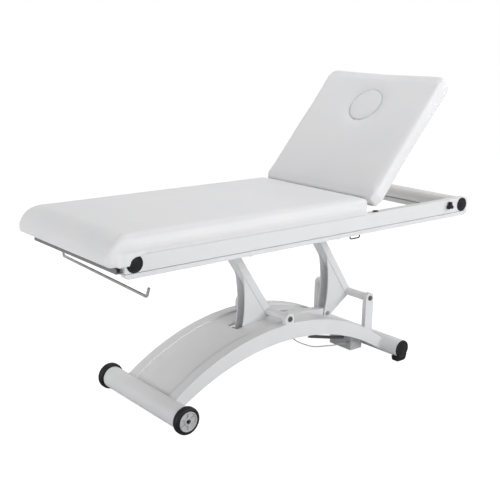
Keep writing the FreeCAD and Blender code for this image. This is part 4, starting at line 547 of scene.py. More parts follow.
tube_radius = (tube_high.z - tube_low.z) / 2
tube_ends = [tube_low.x + tube_radius, tube_high.x - tube_radius]
tube_faces = tube_low.y + BEAD_SET, tube_high.y - BEAD_SET
weld("end_tube_welds", "top_frame", 37, [
    arc(Vector((x, 0, tube_middle)), tube_radius + 0.0003, 0, 360, y, 72)
    for x in tube_ends for y in tube_faces])


# ---- Transport wheels ---------------------------------------------------------------------------
# Black rubber tyres with two grooves, on pale nylon discs with a raised rim and six shallow ribs,
# each closed by a small black cap over its steel axle.
tyre_low, tyre_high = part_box("tyre_near")
WHEEL = middle("tyre_near")
TYRE_RADIUS = (tyre_high.z - tyre_low.z) / 2
TYRE_HALF = (tyre_high.y - tyre_low.y) / 2
SHOULDER = 0.011
GROOVE_PLACES = (-0.0035, 0.0035)
GROOVE = 0.0011
DISC_RADIUS = 0.038
DISC_EDGE = 0.0006
RIM_RADIUS = 0.0372
WEB_DEPTH = 0.006
INNER_WEB_DEPTH = 0.007
BOSS_RADIUS = 0.0143
CAP_RECESS = 0.009
CAP_BORE = 0.0098
AXLE_BORE = 0.0063
black_rubber = moulded("black_rubber", (0.006, 0.006, 0.006), 0.5, 900.0, 0.12, 0.25, 0.001)
grey_nylon = moulded("grey_nylon", (0.54, 0.545, 0.56), 0.42, 1100.0, 0.1, edge=0.001)


def tyre_profile():
    """Section of a tyre: a grooved tread between two round shoulders, and a seat on the disc."""
    shoulder = []
    for step in range(9):
        angle = math.radians(90 * step / 8)
        shoulder.append((TYRE_HALF - SHOULDER + SHOULDER * math.sin(angle),
                         TYRE_RADIUS - SHOULDER + SHOULDER * math.cos(angle)))
    tread = []
    for place in GROOVE_PLACES:
        tread += [(place - GROOVE, TYRE_RADIUS), (place - GROOVE * 0.6, TYRE_RADIUS - GROOVE),
                  (place + GROOVE * 0.6, TYRE_RADIUS - GROOVE), (place + GROOVE, TYRE_RADIUS)]
    bead = [(TYRE_HALF - DISC_EDGE, DISC_RADIUS + 0.003), (TYRE_HALF - 0.001, DISC_RADIUS)]
    left = [(-along, radius) for along, radius in reversed(shoulder + bead)]
    return left + tread + shoulder + bead + [left[0]]


def disc_profile():
    """Half section of a disc from its outer face inwards: cap seat, boss, dished web, raised rim."""
    outer = TYRE_HALF
    return [
        (outer - CAP_RECESS, AXLE_BORE), (outer - CAP_RECESS, CAP_BORE), (outer - 0.001, CAP_BORE),
        (outer, CAP_BORE + 0.001), (outer, BOSS_RADIUS - 0.0008), (outer - DISC_EDGE, BOSS_RADIUS),
        (outer - WEB_DEPTH, BOSS_RADIUS + 0.0022), (outer - WEB_DEPTH, 0.0305),
        (outer - 2 * DISC_EDGE, 0.0335), (outer - DISC_EDGE, 0.034), (outer, 0.0346),
        (outer, RIM_RADIUS - 0.0007), (outer - DISC_EDGE, RIM_RADIUS), (outer - 0.001, DISC_RADIUS),
        (0.001 - outer, DISC_RADIUS), (DISC_EDGE - outer, RIM_RADIUS), (-outer, RIM_RADIUS - 0.0007),
        (-outer, 0.034), (INNER_WEB_DEPTH - outer, 0.0315), (INNER_WEB_DEPTH - outer, 0.019),
        (-outer, 0.017), (-outer, AXLE_BORE), (outer - CAP_RECESS, AXLE_BORE)]


RIBS = 6
RIB_HALF = 0.0013
RIB_ENDS = (0.0155, 0.0325)
RIB_RISE = 0.0046
CAP_SEAT = 0.0049
for side, sign in (("near", -1), ("far", 1)):
    hub = Vector((WHEEL.x, sign * abs(WHEEL.y), WHEEL.z))
    outward = (0, sign, 0)
    work = bmesh.new()
    turn_profile(work, tyre_profile(), hub, outward, 96)
    placed(solid("tyre_" + side + "_rubber", work), black_rubber, "wheel_" + side, "tyre_rubber",
           "tyre_" + side)
    work = bmesh.new()
    turn_profile(work, disc_profile(), hub, outward, 96)
    face = hub.y + sign * (TYRE_HALF - 0.0061)
    for rib in range(RIBS):
        turn = Matrix.Translation(hub) @ Matrix.Rotation(2 * math.pi * rib / RIBS, 4, "Y")
        hull(work, [turn @ Vector((x, y - hub.y, z)) for x in (-RIB_HALF, RIB_HALF) for z in RIB_ENDS
                    for y in (face, face + sign * RIB_RISE)])
    placed(solid("wheel_disc_" + side + "_nylon", work), grey_nylon, "wheel_" + side, "grey_plastic",
           "wheel_disc_" + side)
    work = bmesh.new()
    seat = TYRE_HALF - CAP_SEAT
    turn_profile(work, [(seat, 0), (seat, 0.0062), (seat + 0.0022, 0.0062), (seat + 0.0034, 0.0052),
                        (seat + 0.0038, 0.003), (seat + 0.0038, 0)], hub, outward, 48)
    placed(solid("axle_cap_" + side, work), black_plastic, "base", "black_plastic")


# ---- End plugs and feet -------------------------------------------------------------------------
# Press-in plugs of black nylon close the cross tubes: domed a little, with a stepped ring and the
# mark of the moulding gate. The rear feet are rubber saddles.
PLUG_RING = 0.0028
PLUG_STEP = 0.0009
GATE_RADIUS = 0.0035
GATE_DEPTH = 0.0006


def plug(work, centre, way, radius, height, bevel):
    """Adds the outside of a plug: a rolled rim, a ring-shaped step and a low dome with a gate mark."""
    inside = radius - bevel - PLUG_RING
    turn_profile(work, [
        (0, 0), (0, radius - 0.0004), (0.0008, radius), (height - bevel, radius),
        (height - bevel * 0.3, radius - bevel * 0.35), (height, radius - bevel), (height, inside),
        (height - PLUG_STEP, inside - 0.0008), (height - PLUG_STEP, radius * 0.52),
        (height - 0.0005, radius * 0.49), (height - 0.0001, radius * 0.3), (height, GATE_RADIUS),
        (height - GATE_DEPTH, GATE_RADIUS - 0.0005), (height - GATE_DEPTH, 0)], centre, way, 96)


rail_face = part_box("side_rail_far")[1].y
plug_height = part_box("cross_tube_plugs")[1].y - rail_face
work = bmesh.new()
for x in tube_ends:
    for sign in (-1, 1):
        plug(work, (x, sign * rail_face, tube_middle), (0, sign, 0), tube_radius, plug_height, 0.003)
placed(solid("rail_plugs", work), black_plastic, "top_frame", "black_plastic", "cross_tube_plugs")

CAP_HEIGHT = 0.005
CAP_SLEEVE = 0.012
CAP_WALL = 0.0035
cap_low, cap_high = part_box("rear_tube_caps")
cap_radius = (cap_high.z - cap_low.z) / 2
cap_line = middle("rear_tube_caps")
work = bmesh.new()
for sign in (-1, 1):
    face = (cap_line.x, sign * (cap_high.y - CAP_HEIGHT), cap_line.z)
    plug(work, face, (0, sign, 0), cap_radius, CAP_HEIGHT, 0.0025)
    turn_profile(work, [(-CAP_SLEEVE, 0), (-CAP_SLEEVE, cap_radius - 0.005),
                        (-CAP_SLEEVE + 0.002, cap_radius - CAP_WALL), (0.0, cap_radius - CAP_WALL)],
                 face, (0, sign, 0), 64)
placed(solid("rear_caps", work), black_plastic, "base", "black_plastic", "rear_tube_caps")
dress(black_rubber, "rear_feet", "rest_buffers")
dress(black_plastic, "clamp_knob")


# ---- Pivot bolts and pins -----------------------------------------------------------------------
# The main pivot bolts are oiled steel, and a hexagon socket is sunk in each of their eight ends;
# the sockets' near-black is painted shade on top of the real shade in them. The link pins, the
# axles and the hinge pins are zinc-plated steel.
def steel(name, colour, roughness, metallic=1.0, stretch=(1, 1, 1), specular=0.5, edge=0.0008):
    """Drawn or plated steel: fine marks along one direction, and slightly uneven darkness."""
    material, shade, shader = finished(name, colour, roughness, metallic, specular=specular)
    marks = noise(shade, 260.0, 4.0, 0.6, stretch)
    darker = tuple(channel * 0.75 for channel in colour)
    joined(shade, shader, Base_Color=between(shade, noise(shade, 30.0), colour, darker),
           Roughness=marks * 0.3 + (roughness - 0.15))
    relief(shade, shader, marks, 0.00004, 0.5, edge)
    return material


zinc_steel = steel("zinc_plated_steel", (0.55, 0.55, 0.56), 0.36)
# Near-black, as painted shade inside the bolt sockets.
black_steel = steel("socket_painted_shade", (0.03, 0.03, 0.032), 0.4, 0.0, specular=0.3)
bolt_steel = steel("bolt_steel", (0.14, 0.14, 0.145), 0.34, 0.5, specular=0.4)
dress(bolt_steel, "base_pivot_bolts", "top_pivot_bolts")
dress(zinc_steel, "front_link_pin", "rear_link_pin", "wheel_axles", "actuator_rod", "hinge_seat_leaves",
      "hinge_back_leaves", "hinge_pins", "clamp_nut", "spring_rod")

SOCKET_RADIUS = 0.006
SOCKET_DEPTH = 0.0078
HEXAGON = 0.0052


def repeat_tree():
    """Geometry nodes that set a copy of a part on every point, each turned a little at random."""
    shade, (points, part, way, play, seed, finish) = geometry_tree(
        "RepeatedPart", Points="Geometry", Part="Object", Way="Rotation", Play="Vector", Seed="Int",
        Finish="Material")
    least = shade.node("ShaderNodeVectorMath", {"operation": "SCALE"}, {0: play, "Scale": -1.0})
    turn = shade.node("FunctionNodeRandomValue", {"data_type": "FLOAT_VECTOR"},
                      {0: least, 1: play, "Seed": seed})
    turn = shade.node("FunctionNodeEulerToRotation", None, {"Euler": turn})
    turn = shade.node("FunctionNodeRotateRotation", {"rotation_space": "LOCAL"},
                      {"Rotation": way, "Rotate By": turn})
    shape = shade.node("GeometryNodeObjectInfo", {"transform_space": "ORIGINAL"}, {"Object": part}, output=4)
    copies = shade.node("GeometryNodeInstanceOnPoints", None,
                        {"Points": points, "Instance": shape, "Rotation": turn})
    real = shade.node("GeometryNodeRealizeInstances", None, {"Geometry": copies})
    coated = shade.node("GeometryNodeSetMaterial", None, {"Geometry": real, "Material": finish})
    shade.node("NodeGroupOutput", None, {"Shape": coated})
    return shade.tree


REPEATED_PART = repeat_tree()


def repeated(name, part, spots, way, play, seed, material, body, slot):
    """Copies of a part at these spots, as one piece on a body. The part itself is used up."""
    scene.collection.objects.link(part)
    mesh = bpy.data.meshes.new(name + "_spots")
    mesh.from_pydata(spots, [], [])
    holder = bpy.data.objects.new(name + "_spots", mesh)
    scene.collection.objects.link(holder)
    mesh = worked_out(holder, REPEATED_PART, Part=part, Way=way, Play=play, Seed=seed, Finish=material)
    bpy.data.objects.remove(holder)
    bpy.data.objects.remove(part)
    mesh.name = name
    placed(bpy.data.objects.new(name, mesh), material, body, slot)


def hexagon_socket(name):
    """A sleeve with a round outside and a hexagonal inside, along +Z from its floor."""
    work = bmesh.new()
    rings = []
    for z, hexagonal in ((0, True), (SOCKET_DEPTH, True), (SOCKET_DEPTH, False), (0, False)):
        ring = []
        for step in range(48):
            angle = 2 * math.pi * step / 48
            across = (angle + math.pi / 6) % (math.pi / 3) - math.pi / 6
            radius = HEXAGON * math.cos(math.pi / 6) / math.cos(across) if hexagonal else SOCKET_RADIUS
            ring.append((radius * math.cos(angle), radius * math.sin(angle), z))
        rings.append(ring)
    lofted(work, rings + rings[:1], capped=False)
    return solid(name, work)


OUTWARD = {-1: (math.pi / 2, 0, 0), 1: (-math.pi / 2, 0, 0)}
for node, body, seed in (("base_pivot_bolts", "base", 3), ("top_pivot_bolts", "top_frame", 5)):
    low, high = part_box(node)
    head = (high.z - low.z) / 2
    for sign in (-1, 1):
        spots = [(x, sign * (high.y - SOCKET_DEPTH), low.z + head) for x in (low.x + head, high.x - head)]
        repeated("%s_sockets_%s" % (body, "far" if sign > 0 else "near"), hexagon_socket("socket"), spots,
                 OUTWARD[sign], (0, 0, 0.5), seed, black_steel, body, "black_steel")


# ---- Lifting actuator ---------------------------------------------------------------------------
# A linear actuator under the deck: a gearbox and tube of grey nylon, a bright steel rod, and a
# black motor can with cooling ribs round it.
dress(grey_nylon, "actuator_housing")
motor_low, motor_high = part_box("actuator_motor")
motor_radius = (motor_high.z - motor_low.z) / 2
motor_line = middle("actuator_motor")
MOTOR_RIBS = 7
MOTOR_RIB = 0.0035
MOTOR_GROOVE = 0.002
MOTOR_COVER = 0.009
groove = motor_radius - MOTOR_GROOVE
profile = [
    (motor_low.x, 0), (motor_low.x, motor_radius - 0.003), (motor_low.x + 0.002, motor_radius - 0.001),
    (motor_low.x + MOTOR_COVER, motor_radius - 0.001), (motor_low.x + MOTOR_COVER, groove)]
for rib in range(MOTOR_RIBS):
    start = motor_low.x + MOTOR_COVER + 0.002 + 1.7 * MOTOR_RIB * rib
    profile += [(start, groove), (start + 0.0006, motor_radius),
                (start + MOTOR_RIB - 0.0006, motor_radius), (start + MOTOR_RIB, groove)]
profile += [(motor_high.x, groove), (motor_high.x, 0)]
work = bmesh.new()
turn_profile(work, profile, (0, motor_line.y, motor_line.z), (1, 0, 0), 64)
placed(solid("motor_can", work), black_plastic, "actuator", "black_plastic", "actuator_motor")


# ---- Control box --------------------------------------------------------------------------------
# The controller hangs between the side members: a two-part case of mid-grey ABS with drafted sides,
# a shadow gap where the lid meets the tray, and four lid screws.
grey_case = moulded("grey_case", (0.50, 0.51, 0.53), 0.45, 1200.0, 0.1, edge=0.0008)
CASE_CORNER = 0.006
CASE_SPLIT = 0.62
CASE_GAP = 0.0012


def stacked_case(work, low, high, corner, levels):
    """Adds a closed box of rounded outlines, one on the other. A level is (height, inset)."""
    rings = []
    for height, inset in levels:
        ring = []
        corners = (high.x, high.y), (low.x, high.y), (low.x, low.y), (high.x, low.y)
        for quarter, (x, y) in enumerate(corners):
            centre_x = x - math.copysign(corner, x - (low.x + high.x) / 2)
            centre_y = y - math.copysign(corner, y - (low.y + high.y) / 2)
            for step in range(7):
                angle = math.radians(90 * quarter + 15 * step)
                ring.append((centre_x + (corner - inset) * math.cos(angle),
                             centre_y + (corner - inset) * math.sin(angle), height))
        rings.append(ring)
    lofted(work, rings)


# A rib under the deck runs from the arms to the box, inside the near side member. Its near-black
# colour is painted shade: it stands for white paint in the shade under the deck.
RIB_LINE = ((0.140, 0.163), (0.160, 0.156), (0.200, 0.146), (0.240, 0.136), (0.280, 0.126), (0.320, 0.117),
            (0.360, 0.110))
RIB_HEIGHT = 0.014
RIB_THICK = 0.0025
rib_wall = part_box("control_box")[0].y + 0.001
# The rib's near-black grey is painted shade.
rib_painted_shade = moulded("rib_painted_shade", (0.09, 0.09, 0.095), 0.5, 900.0, 0.1, 0.2, 0.001)
work = bmesh.new()
top_line = [(x, z + RIB_HEIGHT) for x, z in reversed(RIB_LINE[1:])]
extruded(work, list(RIB_LINE) + top_line, rib_wall, rib_wall + RIB_THICK)
placed(solid("deck_rib", work), rib_painted_shade, "base", "black_steel")

case_low, case_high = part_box("control_box")
split = case_low.z + (case_high.z - case_low.z) * CASE_SPLIT
work = bmesh.new()
stacked_case(work, case_low, case_high, CASE_CORNER, [
    (case_low.z, 0.0035), (case_low.z + 0.001, 0.0012), (case_low.z + 0.0035, 0.0004), (split - CASE_GAP, 0),
    (split - CASE_GAP * 0.8, CASE_GAP), (split, CASE_GAP), (split + 0.0003, 0.0003),
    (case_high.z - 0.004, 0.0004), (case_high.z - 0.001, 0.0018), (case_high.z, 0.004)])
placed(solid("control_case", work), grey_case, "base", "control_plastic", "control_box")


def pan_screw(name, radius, height):
    """A pan-head screw with a crossed recess, its head standing along +Z from its seat."""
    work = bmesh.new()
    turns = [math.radians(15 * step) for step in range(24)]
    rings = []
    for share, lift in ((1.0, 0.0), (1.0, 0.45), (0.86, 0.8), (0.62, 0.97), (0.34, 1.0)):
        rings.append([(radius * share * math.cos(turn), radius * share * math.sin(turn), height * lift)
                      for turn in turns])
    sunk = []
    for turn in turns:
        arm = abs((math.degrees(turn) + 45) % 90 - 45)
        reach = radius * (0.33 if arm < 20 else 0.14)
        sunk.append((reach * math.cos(turn), reach * math.sin(turn), height * 0.45))
    lofted(work, rings + [sunk])
    return solid(name, work)


CASE_SCREW_SET = 0.011
screw_spots = [(x, y, case_high.z - 0.0002)
               for x in (case_low.x + CASE_SCREW_SET, case_high.x - CASE_SCREW_SET)
               for y in (case_low.y + CASE_SCREW_SET, case_high.y - CASE_SCREW_SET)]
repeated("case_screws", pan_screw("case_screw", 0.0032, 0.0016), screw_spots, (0, 0, 0), (0, 0, 0.8), 7,
         zinc_steel, "base", "zinc_steel")


# ---- Paper roll rod, wire hook and gas spring ---------------------------------------------------
# The rod for the paper roll is bent from drawn wire and zinc plated. The hook under the near rail
# and the barrel of the gas spring are black.
rod_steel = steel("drawn_steel_rod", (0.50, 0.50, 0.505), 0.38, stretch=(1, 0.05, 1))
black_lacquer = steel("black_lacquer", (0.012, 0.012, 0.013), 0.4, 0.0, specular=0.3)
dress(rod_steel, "roll_rod")
dress(black_lacquer, "spring_barrel", "wire_hook")


# ---- Boards -------------------------------------------------------------------------------------
# The boards under the cushions: birch plywood with its grain along the bed. The seat's board is
# screwed down through the flat beams, and both carry the turned-in hem of their cover.
def plywood(name, dark, light):
    material, shade, shader = finished(name, light, 0.6)
    grain = noise(shade, 18.0, 6.0, 0.6, (0.25, 4.0, 4.0))
    knots = spread(shade, noise(shade, 5.0, 2.0, 0.5, (0.5, 2.0, 2.0)), 0.68, 0.74, 0.5)
    wood = between(shade, grain, dark, light)
    joined(shade, shader, Base_Color=between(shade, knots, wood, tuple(channel * 0.7 for channel in dark)))
    relief(shade, shader, grain, 0.0003, 0.5, 0.0015)
    return material


birch = plywood("birch_plywood", (0.56, 0.46, 0.34), (0.74, 0.66, 0.53))
dress(birch, "seat_board", "back_board")

BEAM_SCREW_RADIUS = 0.006
BEAM_SCREWS = (-0.21, -0.07, 0.07, 0.21)
BEAM_WIDTH = 0.06
MIDDLE_BEAM = -0.11
beam_low, beam_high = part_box("frame_beams")
beams = [beam_low.x + BEAM_WIDTH / 2, MIDDLE_BEAM, beam_high.x - BEAM_WIDTH / 2]
repeated("beam_screws", pan_screw("beam_screw", BEAM_SCREW_RADIUS, 0.0032),
         [(x, y, beam_low.z + 0.0001) for x in beams for y in BEAM_SCREWS],
         (math.pi, 0, 0), (0, 0, 0.8), 17, zinc_steel, "top_frame", "zinc_steel")


# ---- Upholstery ---------------------------------------------------------------------------------
# Foam pads under white polyurethane leathercloth, drawn tight over the boards and stapled under
# them. The seat pad wraps down round the foot end, and the backrest has a round face hole.
def leathercloth(name, colour):
    material, shade, shader = finished(name, colour, 0.46)
    place = shade.node("ShaderNodeTexCoord", output=3)
    pores = shade.node("ShaderNodeTexVoronoi", {"feature": "DISTANCE_TO_EDGE"},
                       {"Vector": place, "Scale": 750.0})
    creases = noise(shade, 11.0, 5.0, 0.55)
    mask = spread(shade, noise(shade, 4.5, 3.0), 0.35, 0.75)
    cooler = tuple(channel * scale for channel, scale in zip(colour, (0.965, 0.968, 0.975)))
    joined(shade, shader, Base_Color=between(shade, mask, colour, cooler),
           Roughness=creases * 0.15 + 0.39)
    relief(shade, shader, pores * 0.12 + creases * 1.0, 0.0009, 0.6)
    shader.inputs["Sheen Weight"].default_value = 0.05
    return material


WHITE_COVER = (0.84, 0.84, 0.85)
cover = leathercloth("white_leathercloth", WHITE_COVER)
PAD_VOXEL = 0.0045
STUFFING = 0.014
COVER_PRESSURE = 4.0
COVER_MOMENTS = 15
PAD_SWELL = 0.006
PLUG_SWELL = 0.003
SEAT_ROUNDING = 22
BACK_ROUNDING = 9


def pad_mesh(node, name, stuffing, steps, turn, lobes):
    """A copy of a pad's CAD solid with its lobes, remeshed evenly, stuffed, and with its edges rounded."""
    mesh = nodes[node].data.copy()
    work = bmesh.new()
    work.from_mesh(mesh)
    bmesh.ops.remove_doubles(work, verts=work.verts, dist=1e-5)
    for outline, inner, outer in lobes:
        extruded(work, outline, inner, outer)
    bmesh.ops.recalc_face_normals(work, faces=work.faces)
    work.to_mesh(mesh)
    work.free()
    mesh.transform(turn.inverted())
    piece = bpy.data.objects.new(name, mesh)
    scene.collection.objects.link(piece)
    remesh = piece.modifiers.new("even", "REMESH")
    remesh.mode = "VOXEL"
    remesh.voxel_size = PAD_VOXEL
    settle(piece)
    piece.data.transform(turn)
    soft = piece.vertex_groups.new(name="soft")
    full = piece.vertex_groups.new(name="full")
    for point in piece.data.vertices:
        softness, fill, stretch = stuffing(point.co)
        point.co += stretch
        soft.add([point.index], min(1.0, max(0.0, softness)), "REPLACE")
        full.add([point.index], min(1.0, max(0.0, fill / STUFFING)), "REPLACE")
    even = piece.modifiers.new("even", "SMOOTH")
    even.iterations = 1
    stuffed = piece.modifiers.new("stuffed", "DISPLACE")
    stuffed.strength = STUFFING
    stuffed.mid_level = 0.0
    stuffed.vertex_group = "full"
    rounded = piece.modifiers.new("rounded", "SMOOTH")
    rounded.iterations = steps
    rounded.vertex_group = "soft"
    settle(piece)
    piece.vertex_groups.clear()
    piece.data.name = name
    return piece


def settle(piece):
    """Applies every modifier of a piece."""
    shape = piece.evaluated_get(bpy.context.evaluated_depsgraph_get())
    piece.data = bpy.data.meshes.new_from_object(shape)
    piece.modifiers.clear()


def inflate(piece, is_held, cap):
    """Blows the cover up like foam under cloth, and applies the result, moving no point past the cap."""
    rest = [vertex.co.copy() for vertex in piece.data.vertices]
    held = piece.vertex_groups.new(name="held")
    held.add([place for place, point in enumerate(rest) if is_held(point)], 1.0, "REPLACE")
    cloth = piece.modifiers.new("cover", "CLOTH")
    cloth.settings.use_pressure = True
    cloth.settings.uniform_pressure_force = COVER_PRESSURE
    cloth.settings.vertex_group_mass = "held"
    cloth.settings.effector_weights.gravity = 0.0
    cloth.settings.quality = 4
    cloth.settings.tension_stiffness = 40.0
    cloth.settings.compression_stiffness = 40.0
    cloth.settings.bending_stiffness = 2.0
    cloth.collision_settings.use_collision = False
    for moment in range(1, COVER_MOMENTS + 1):
        scene.frame_set(moment)
    blown = piece.evaluated_get(bpy.context.evaluated_depsgraph_get())
    moved = [vertex.co.copy() for vertex in blown.data.vertices]
    piece.modifiers.clear()
    for vertex, start, end in zip(piece.data.vertices, rest, moved):
        step = end - start
        vertex.co = start + step * (cap / (cap + step.length))
    scene.frame_set(1)


def upholstered(node, body, name, stuffing, steps, is_held, cap, turn=Matrix(), lobes=()):
    """Covers a pad, whose CAD solid it stands for, on its body."""
    piece = pad_mesh(node, name, stuffing, steps, turn, lobes)
    inflate(piece, is_held, cap)
    piece.data.materials.clear()
    piece.data.materials.append(cover)
    piece.data.polygons.foreach_set("use_smooth", [True] * len(piece.data.polygons))
    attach(piece, body)
    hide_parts(node)


def ramp(value, low, high):
    """A smooth step from 0 at low to 1 at high."""
    share = min(1.0, max(0.0, (value - low) / (high - low)))
    return share * share * (3 - 2 * share)


board_low, board_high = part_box("seat_board")
seat_low, seat_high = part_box("seat_cushion")
plug_spot = Vector((tube_ends[0], tube_middle))
SEAT_FILL = 0.005


def seat_stuffing(point):
    """How soft the seat pad is at a point, how far it is stuffed out there, and no stretch."""
    softness = ramp(point.z, board_high.z - 0.004, board_high.z + 0.010)
    nose = ramp(point.x, plug_spot.x - 0.05, plug_spot.x - 0.09)
    nose *= ramp(point.z, seat_low.z + 0.003, seat_low.z + 0.015)
    return softness, SEAT_FILL * max(softness, nose) * ramp(seat_high.x - point.x, 0.002, 0.03), Vector()


def is_seat_held(point):
    """Holds the pad from its foot to just above its board, and leaves the rest free."""
    return point.z < board_high.z + 0.004


# At the foot end the cover is drawn down on both sides, and partly over the plugs of the rails.
LOBE_RADIUS = 0.0252
lobe_outline = [(plug_spot.x - LOBE_RADIUS * math.cos(math.radians(12 * step)),
                 plug_spot.y + LOBE_RADIUS * math.sin(math.radians(12 * step))) for step in range(8)]
lobe_outline += [
    (plug_spot.x + 0.014, plug_spot.y + 0.0268), (plug_spot.x + 0.028, board_low.z + 0.002),
    (plug_spot.x + 0.028, board_low.z + 0.008), (plug_spot.x - 0.078, board_low.z + 0.008),
    (plug_spot.x - 0.078, seat_low.z + 0.002), (plug_spot.x - 0.062, seat_low.z - 0.005),
    (plug_spot.x - 0.030, seat_low.z - 0.003)]
lobe_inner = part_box("cross_tube_plugs")[1].y + 0.0008
lobes = [(lobe_outline, sign * lobe_inner, sign * (seat_high.y + 0.0018)) for sign in (-1, 1)]
upholstered("seat_cushion", "top_frame", "seat_cover", seat_stuffing, SEAT_ROUNDING, is_seat_held, PAD_SWELL,
            lobes=lobes)

hinge = Vector(next(joint["pos_m"] for joint in frame["joints"] if joint["name"] == "backrest"))
plug_way = Vector(next(joint["axis"] for joint in frame["joints"] if joint["name"] == "face_plug_lift"))
up_board = plug_way.cross(Vector((0, -1, 0))).normalized()
board_turn = Matrix((up_board, Vector((0, 1, 0)), plug_way)).transposed().to_4x4()
PAD_BELOW = 0.037
FACE_FILL = 0.005
SKIN_FILL = 0.003
END_FILL = 0.011
LIP_FILL = 0.005
END_STRETCH = 0.012
SIDE_STRETCH = 0.008
back_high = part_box("back_cushion")[1]
pad_end = max((vertex.co - hinge).dot(up_board) for vertex in nodes["back_cushion"].data.vertices)
face_low, face_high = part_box("face_plug")
face_spot = ((face_low + face_high) / 2 - hinge).dot(up_board)
FACE_RADIUS = (face_high.y - face_low.y) / 2


def on_backrest(point):
    """A point's distance along the backrest, above the hinge line, and inside the nearest free edge."""
    along = (point - hinge).dot(up_board)
    return along, (point - hinge).dot(plug_way), min(back_high.y - abs(point.y), pad_end - along)


def back_stuffing(point):
    """How soft the backrest is at a point, how far it is stuffed out, and how its rim is stretched."""
    along, above, rim = on_backrest(point)
    side = back_high.y - abs(point.y)
    outside = Vector((along - face_spot, point.y)).length - FACE_RADIUS
    softness = ramp(above, -PAD_BELOW - 0.004, -PAD_BELOW + 0.012) * ramp(outside, 0.004, 0.03)
    free = ramp(along, pad_end - 0.35, pad_end)
    hinge_end = ramp(along, 0.006, 0.04)
    fill = max(FACE_FILL * softness * (1 - 0.8 * free), SKIN_FILL * ramp(rim, 0.012, 0.008))
    fill = max(fill, END_FILL * ramp(pad_end - along, 0.012, 0.002))
    if above < -PAD_BELOW:
        fill = min(fill, SKIN_FILL) + LIP_FILL * free * ramp(side, 0.010, 0.005)
    stretch = up_board * END_STRETCH * ramp(along, pad_end - 0.012, pad_end - 0.001)
    stretch.y = math.copysign(SIDE_STRETCH * ramp(side, 0.016, 0.002) * hinge_end, point.y)
    return softness, fill * hinge_end, stretch


def is_back_held(point):
    """Holds the pad down over its board and beside the hinge, and leaves its wrapped edges free."""
    along, above, rim = on_backrest(point)
    return along < 0.03 or (above < 0.004 - PAD_BELOW and rim > 0.014)


def is_plug_held(point):
    """Holds the plug at its foot, where it rests in the board."""
    return on_backrest(point)[1] < 0.004 - PAD_BELOW


upholstered("back_cushion", "backrest", "back_cover", back_stuffing, BACK_ROUNDING, is_back_held, PAD_SWELL,
            board_turn)
upholstered("face_plug", "face_plug", "plug_cover", lambda point: (0.0, 0.0, Vector()), 0, is_plug_held,
            PLUG_SWELL, board_turn)


# ---- Hem and staples ----------------------------------------------------------------------------
# Under each board the leathercloth is turned in by about 30 mm and stapled down every 40 mm.
HEM_THICK = 0.0007
HEM_WIDTH = 0.03
HEM_SET = 0.033
STAPLE_PITCH = 0.04


def hem_strip(work, start, end, in_way, down, setting):
    """Adds a flat strip of cloth between two points, reaching inwards, with a wavy cut edge."""
    start, end, in_way, down = Vector(start), Vector(end), Vector(in_way), Vector(down)
    count = max(2, round((end - start).length / 0.012))
    rings = []
    for step in range(count + 1):
        spot = start.lerp(end, step / count)
        wave = 0.0012 * math.sin(step * 1.9 + setting) + 0.0008 * math.sin(step * 0.7)
        edge = spot + in_way * (HEM_WIDTH + wave)
        rings.append((spot, edge, edge + down * HEM_THICK, spot + down * HEM_THICK))
    lofted(work, rings)


def staple():
    """A wire staple lying on +Z: a crown of flat wire with rounded shoulders."""
    work = bmesh.new()
    half, wire, rise = 0.005, 0.0006, 0.0005
    extruded(work, [(-half, -0.0004), (-half, rise * 0.5), (-half + wire, rise), (half - wire, rise),
                    (half, rise * 0.5), (half, -0.0004)], -wire, wire)
    return solid("staple", work)


def along_line(start, end, pitch):
    """Places spread evenly between two points, about one pitch apart."""
    start, end = Vector(start), Vector(end)
    count = max(1, round((end - start).length / pitch))
    return [tuple(start.lerp(end, (step + 0.5) / count)) for step in range(count)]


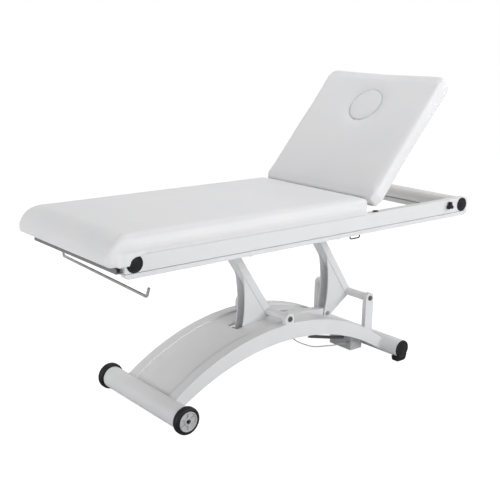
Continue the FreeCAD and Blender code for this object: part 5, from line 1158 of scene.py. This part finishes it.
# The hem of the seat stops on both sides of each beam that its board is screwed to.
HEM_LIFT = 0.0001
HEM_END = 0.012
BEAM_CLEAR = 0.032
STAPLE_SET = 0.016
work = bmesh.new()
spots = []
under = board_low.z - HEM_LIFT
stops = [board_low.x + HEM_END] + [beam + side * BEAM_CLEAR for beam in beams for side in (-1, 1)]
stops.append(board_high.x - HEM_END)
for sign in (-1, 1):
    side = sign * (board_high.y - HEM_SET)
    line = side - sign * STAPLE_SET
    for foot, head in zip(stops[::2], stops[1::2]):
        hem_strip(work, (foot, side, under), (head, side, under), (0, -sign, 0), (0, 0, -1), foot * 9)
        spots += along_line((foot, line, under - HEM_THICK), (head, line, under - HEM_THICK), STAPLE_PITCH)
placed(solid("seat_hem", work), cover, "top_frame", "white_upholstery")
repeated("seat_staples", staple(), spots, (math.pi, 0, 0), (0, 0, 0.18), 29, zinc_steel,
         "top_frame", "zinc_steel")

# The hem of the backrest lies under its board, which leans back from the hinge.
BOARD_BELOW = 0.049
BACK_HEM_START = 0.03
hem_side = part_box("back_board")[1].y - HEM_SET
board_end = max((vertex.co - hinge).dot(up_board) for vertex in nodes["back_board"].data.vertices)
under = hinge - plug_way * (BOARD_BELOW + HEM_LIFT)
work = bmesh.new()
side_spots = []
for sign in (-1, 1):
    side = Vector((0, sign * hem_side, 0))
    foot = under + side + up_board * BACK_HEM_START
    head = under + side + up_board * (board_end - BACK_HEM_START)
    hem_strip(work, foot, head, (0, -sign, 0), -plug_way, sign)
    inset = Vector((0, -sign * STAPLE_SET, 0)) - plug_way * HEM_THICK
    side_spots += along_line(foot + inset, head + inset, STAPLE_PITCH)
HEM_CORNER = 0.004
ends = [under + up_board * (board_end - HEM_END) + Vector((0, sign * (hem_side - HEM_WIDTH - HEM_CORNER), 0))
        for sign in (-1, 1)]
hem_strip(work, ends[0], ends[1], -up_board, -plug_way, 5)
inset = -up_board * STAPLE_SET - plug_way * HEM_THICK
end_spots = along_line(ends[0] + inset, ends[1] + inset, STAPLE_PITCH)
placed(solid("back_hem", work), cover, "backrest", "white_upholstery")
across = (-plug_way).cross(up_board)
side_turn = Matrix((up_board, across, -plug_way)).transposed().to_euler()
end_turn = Matrix((-across, up_board, -plug_way)).transposed().to_euler()
repeated("back_staples", staple(), side_spots, tuple(side_turn), (0, 0, 0.18), 31, zinc_steel,
         "backrest", "zinc_steel")
repeated("back_end_staples", staple(), end_spots, tuple(end_turn), (0, 0, 0.18), 41, zinc_steel,
         "backrest", "zinc_steel")

low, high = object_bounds()
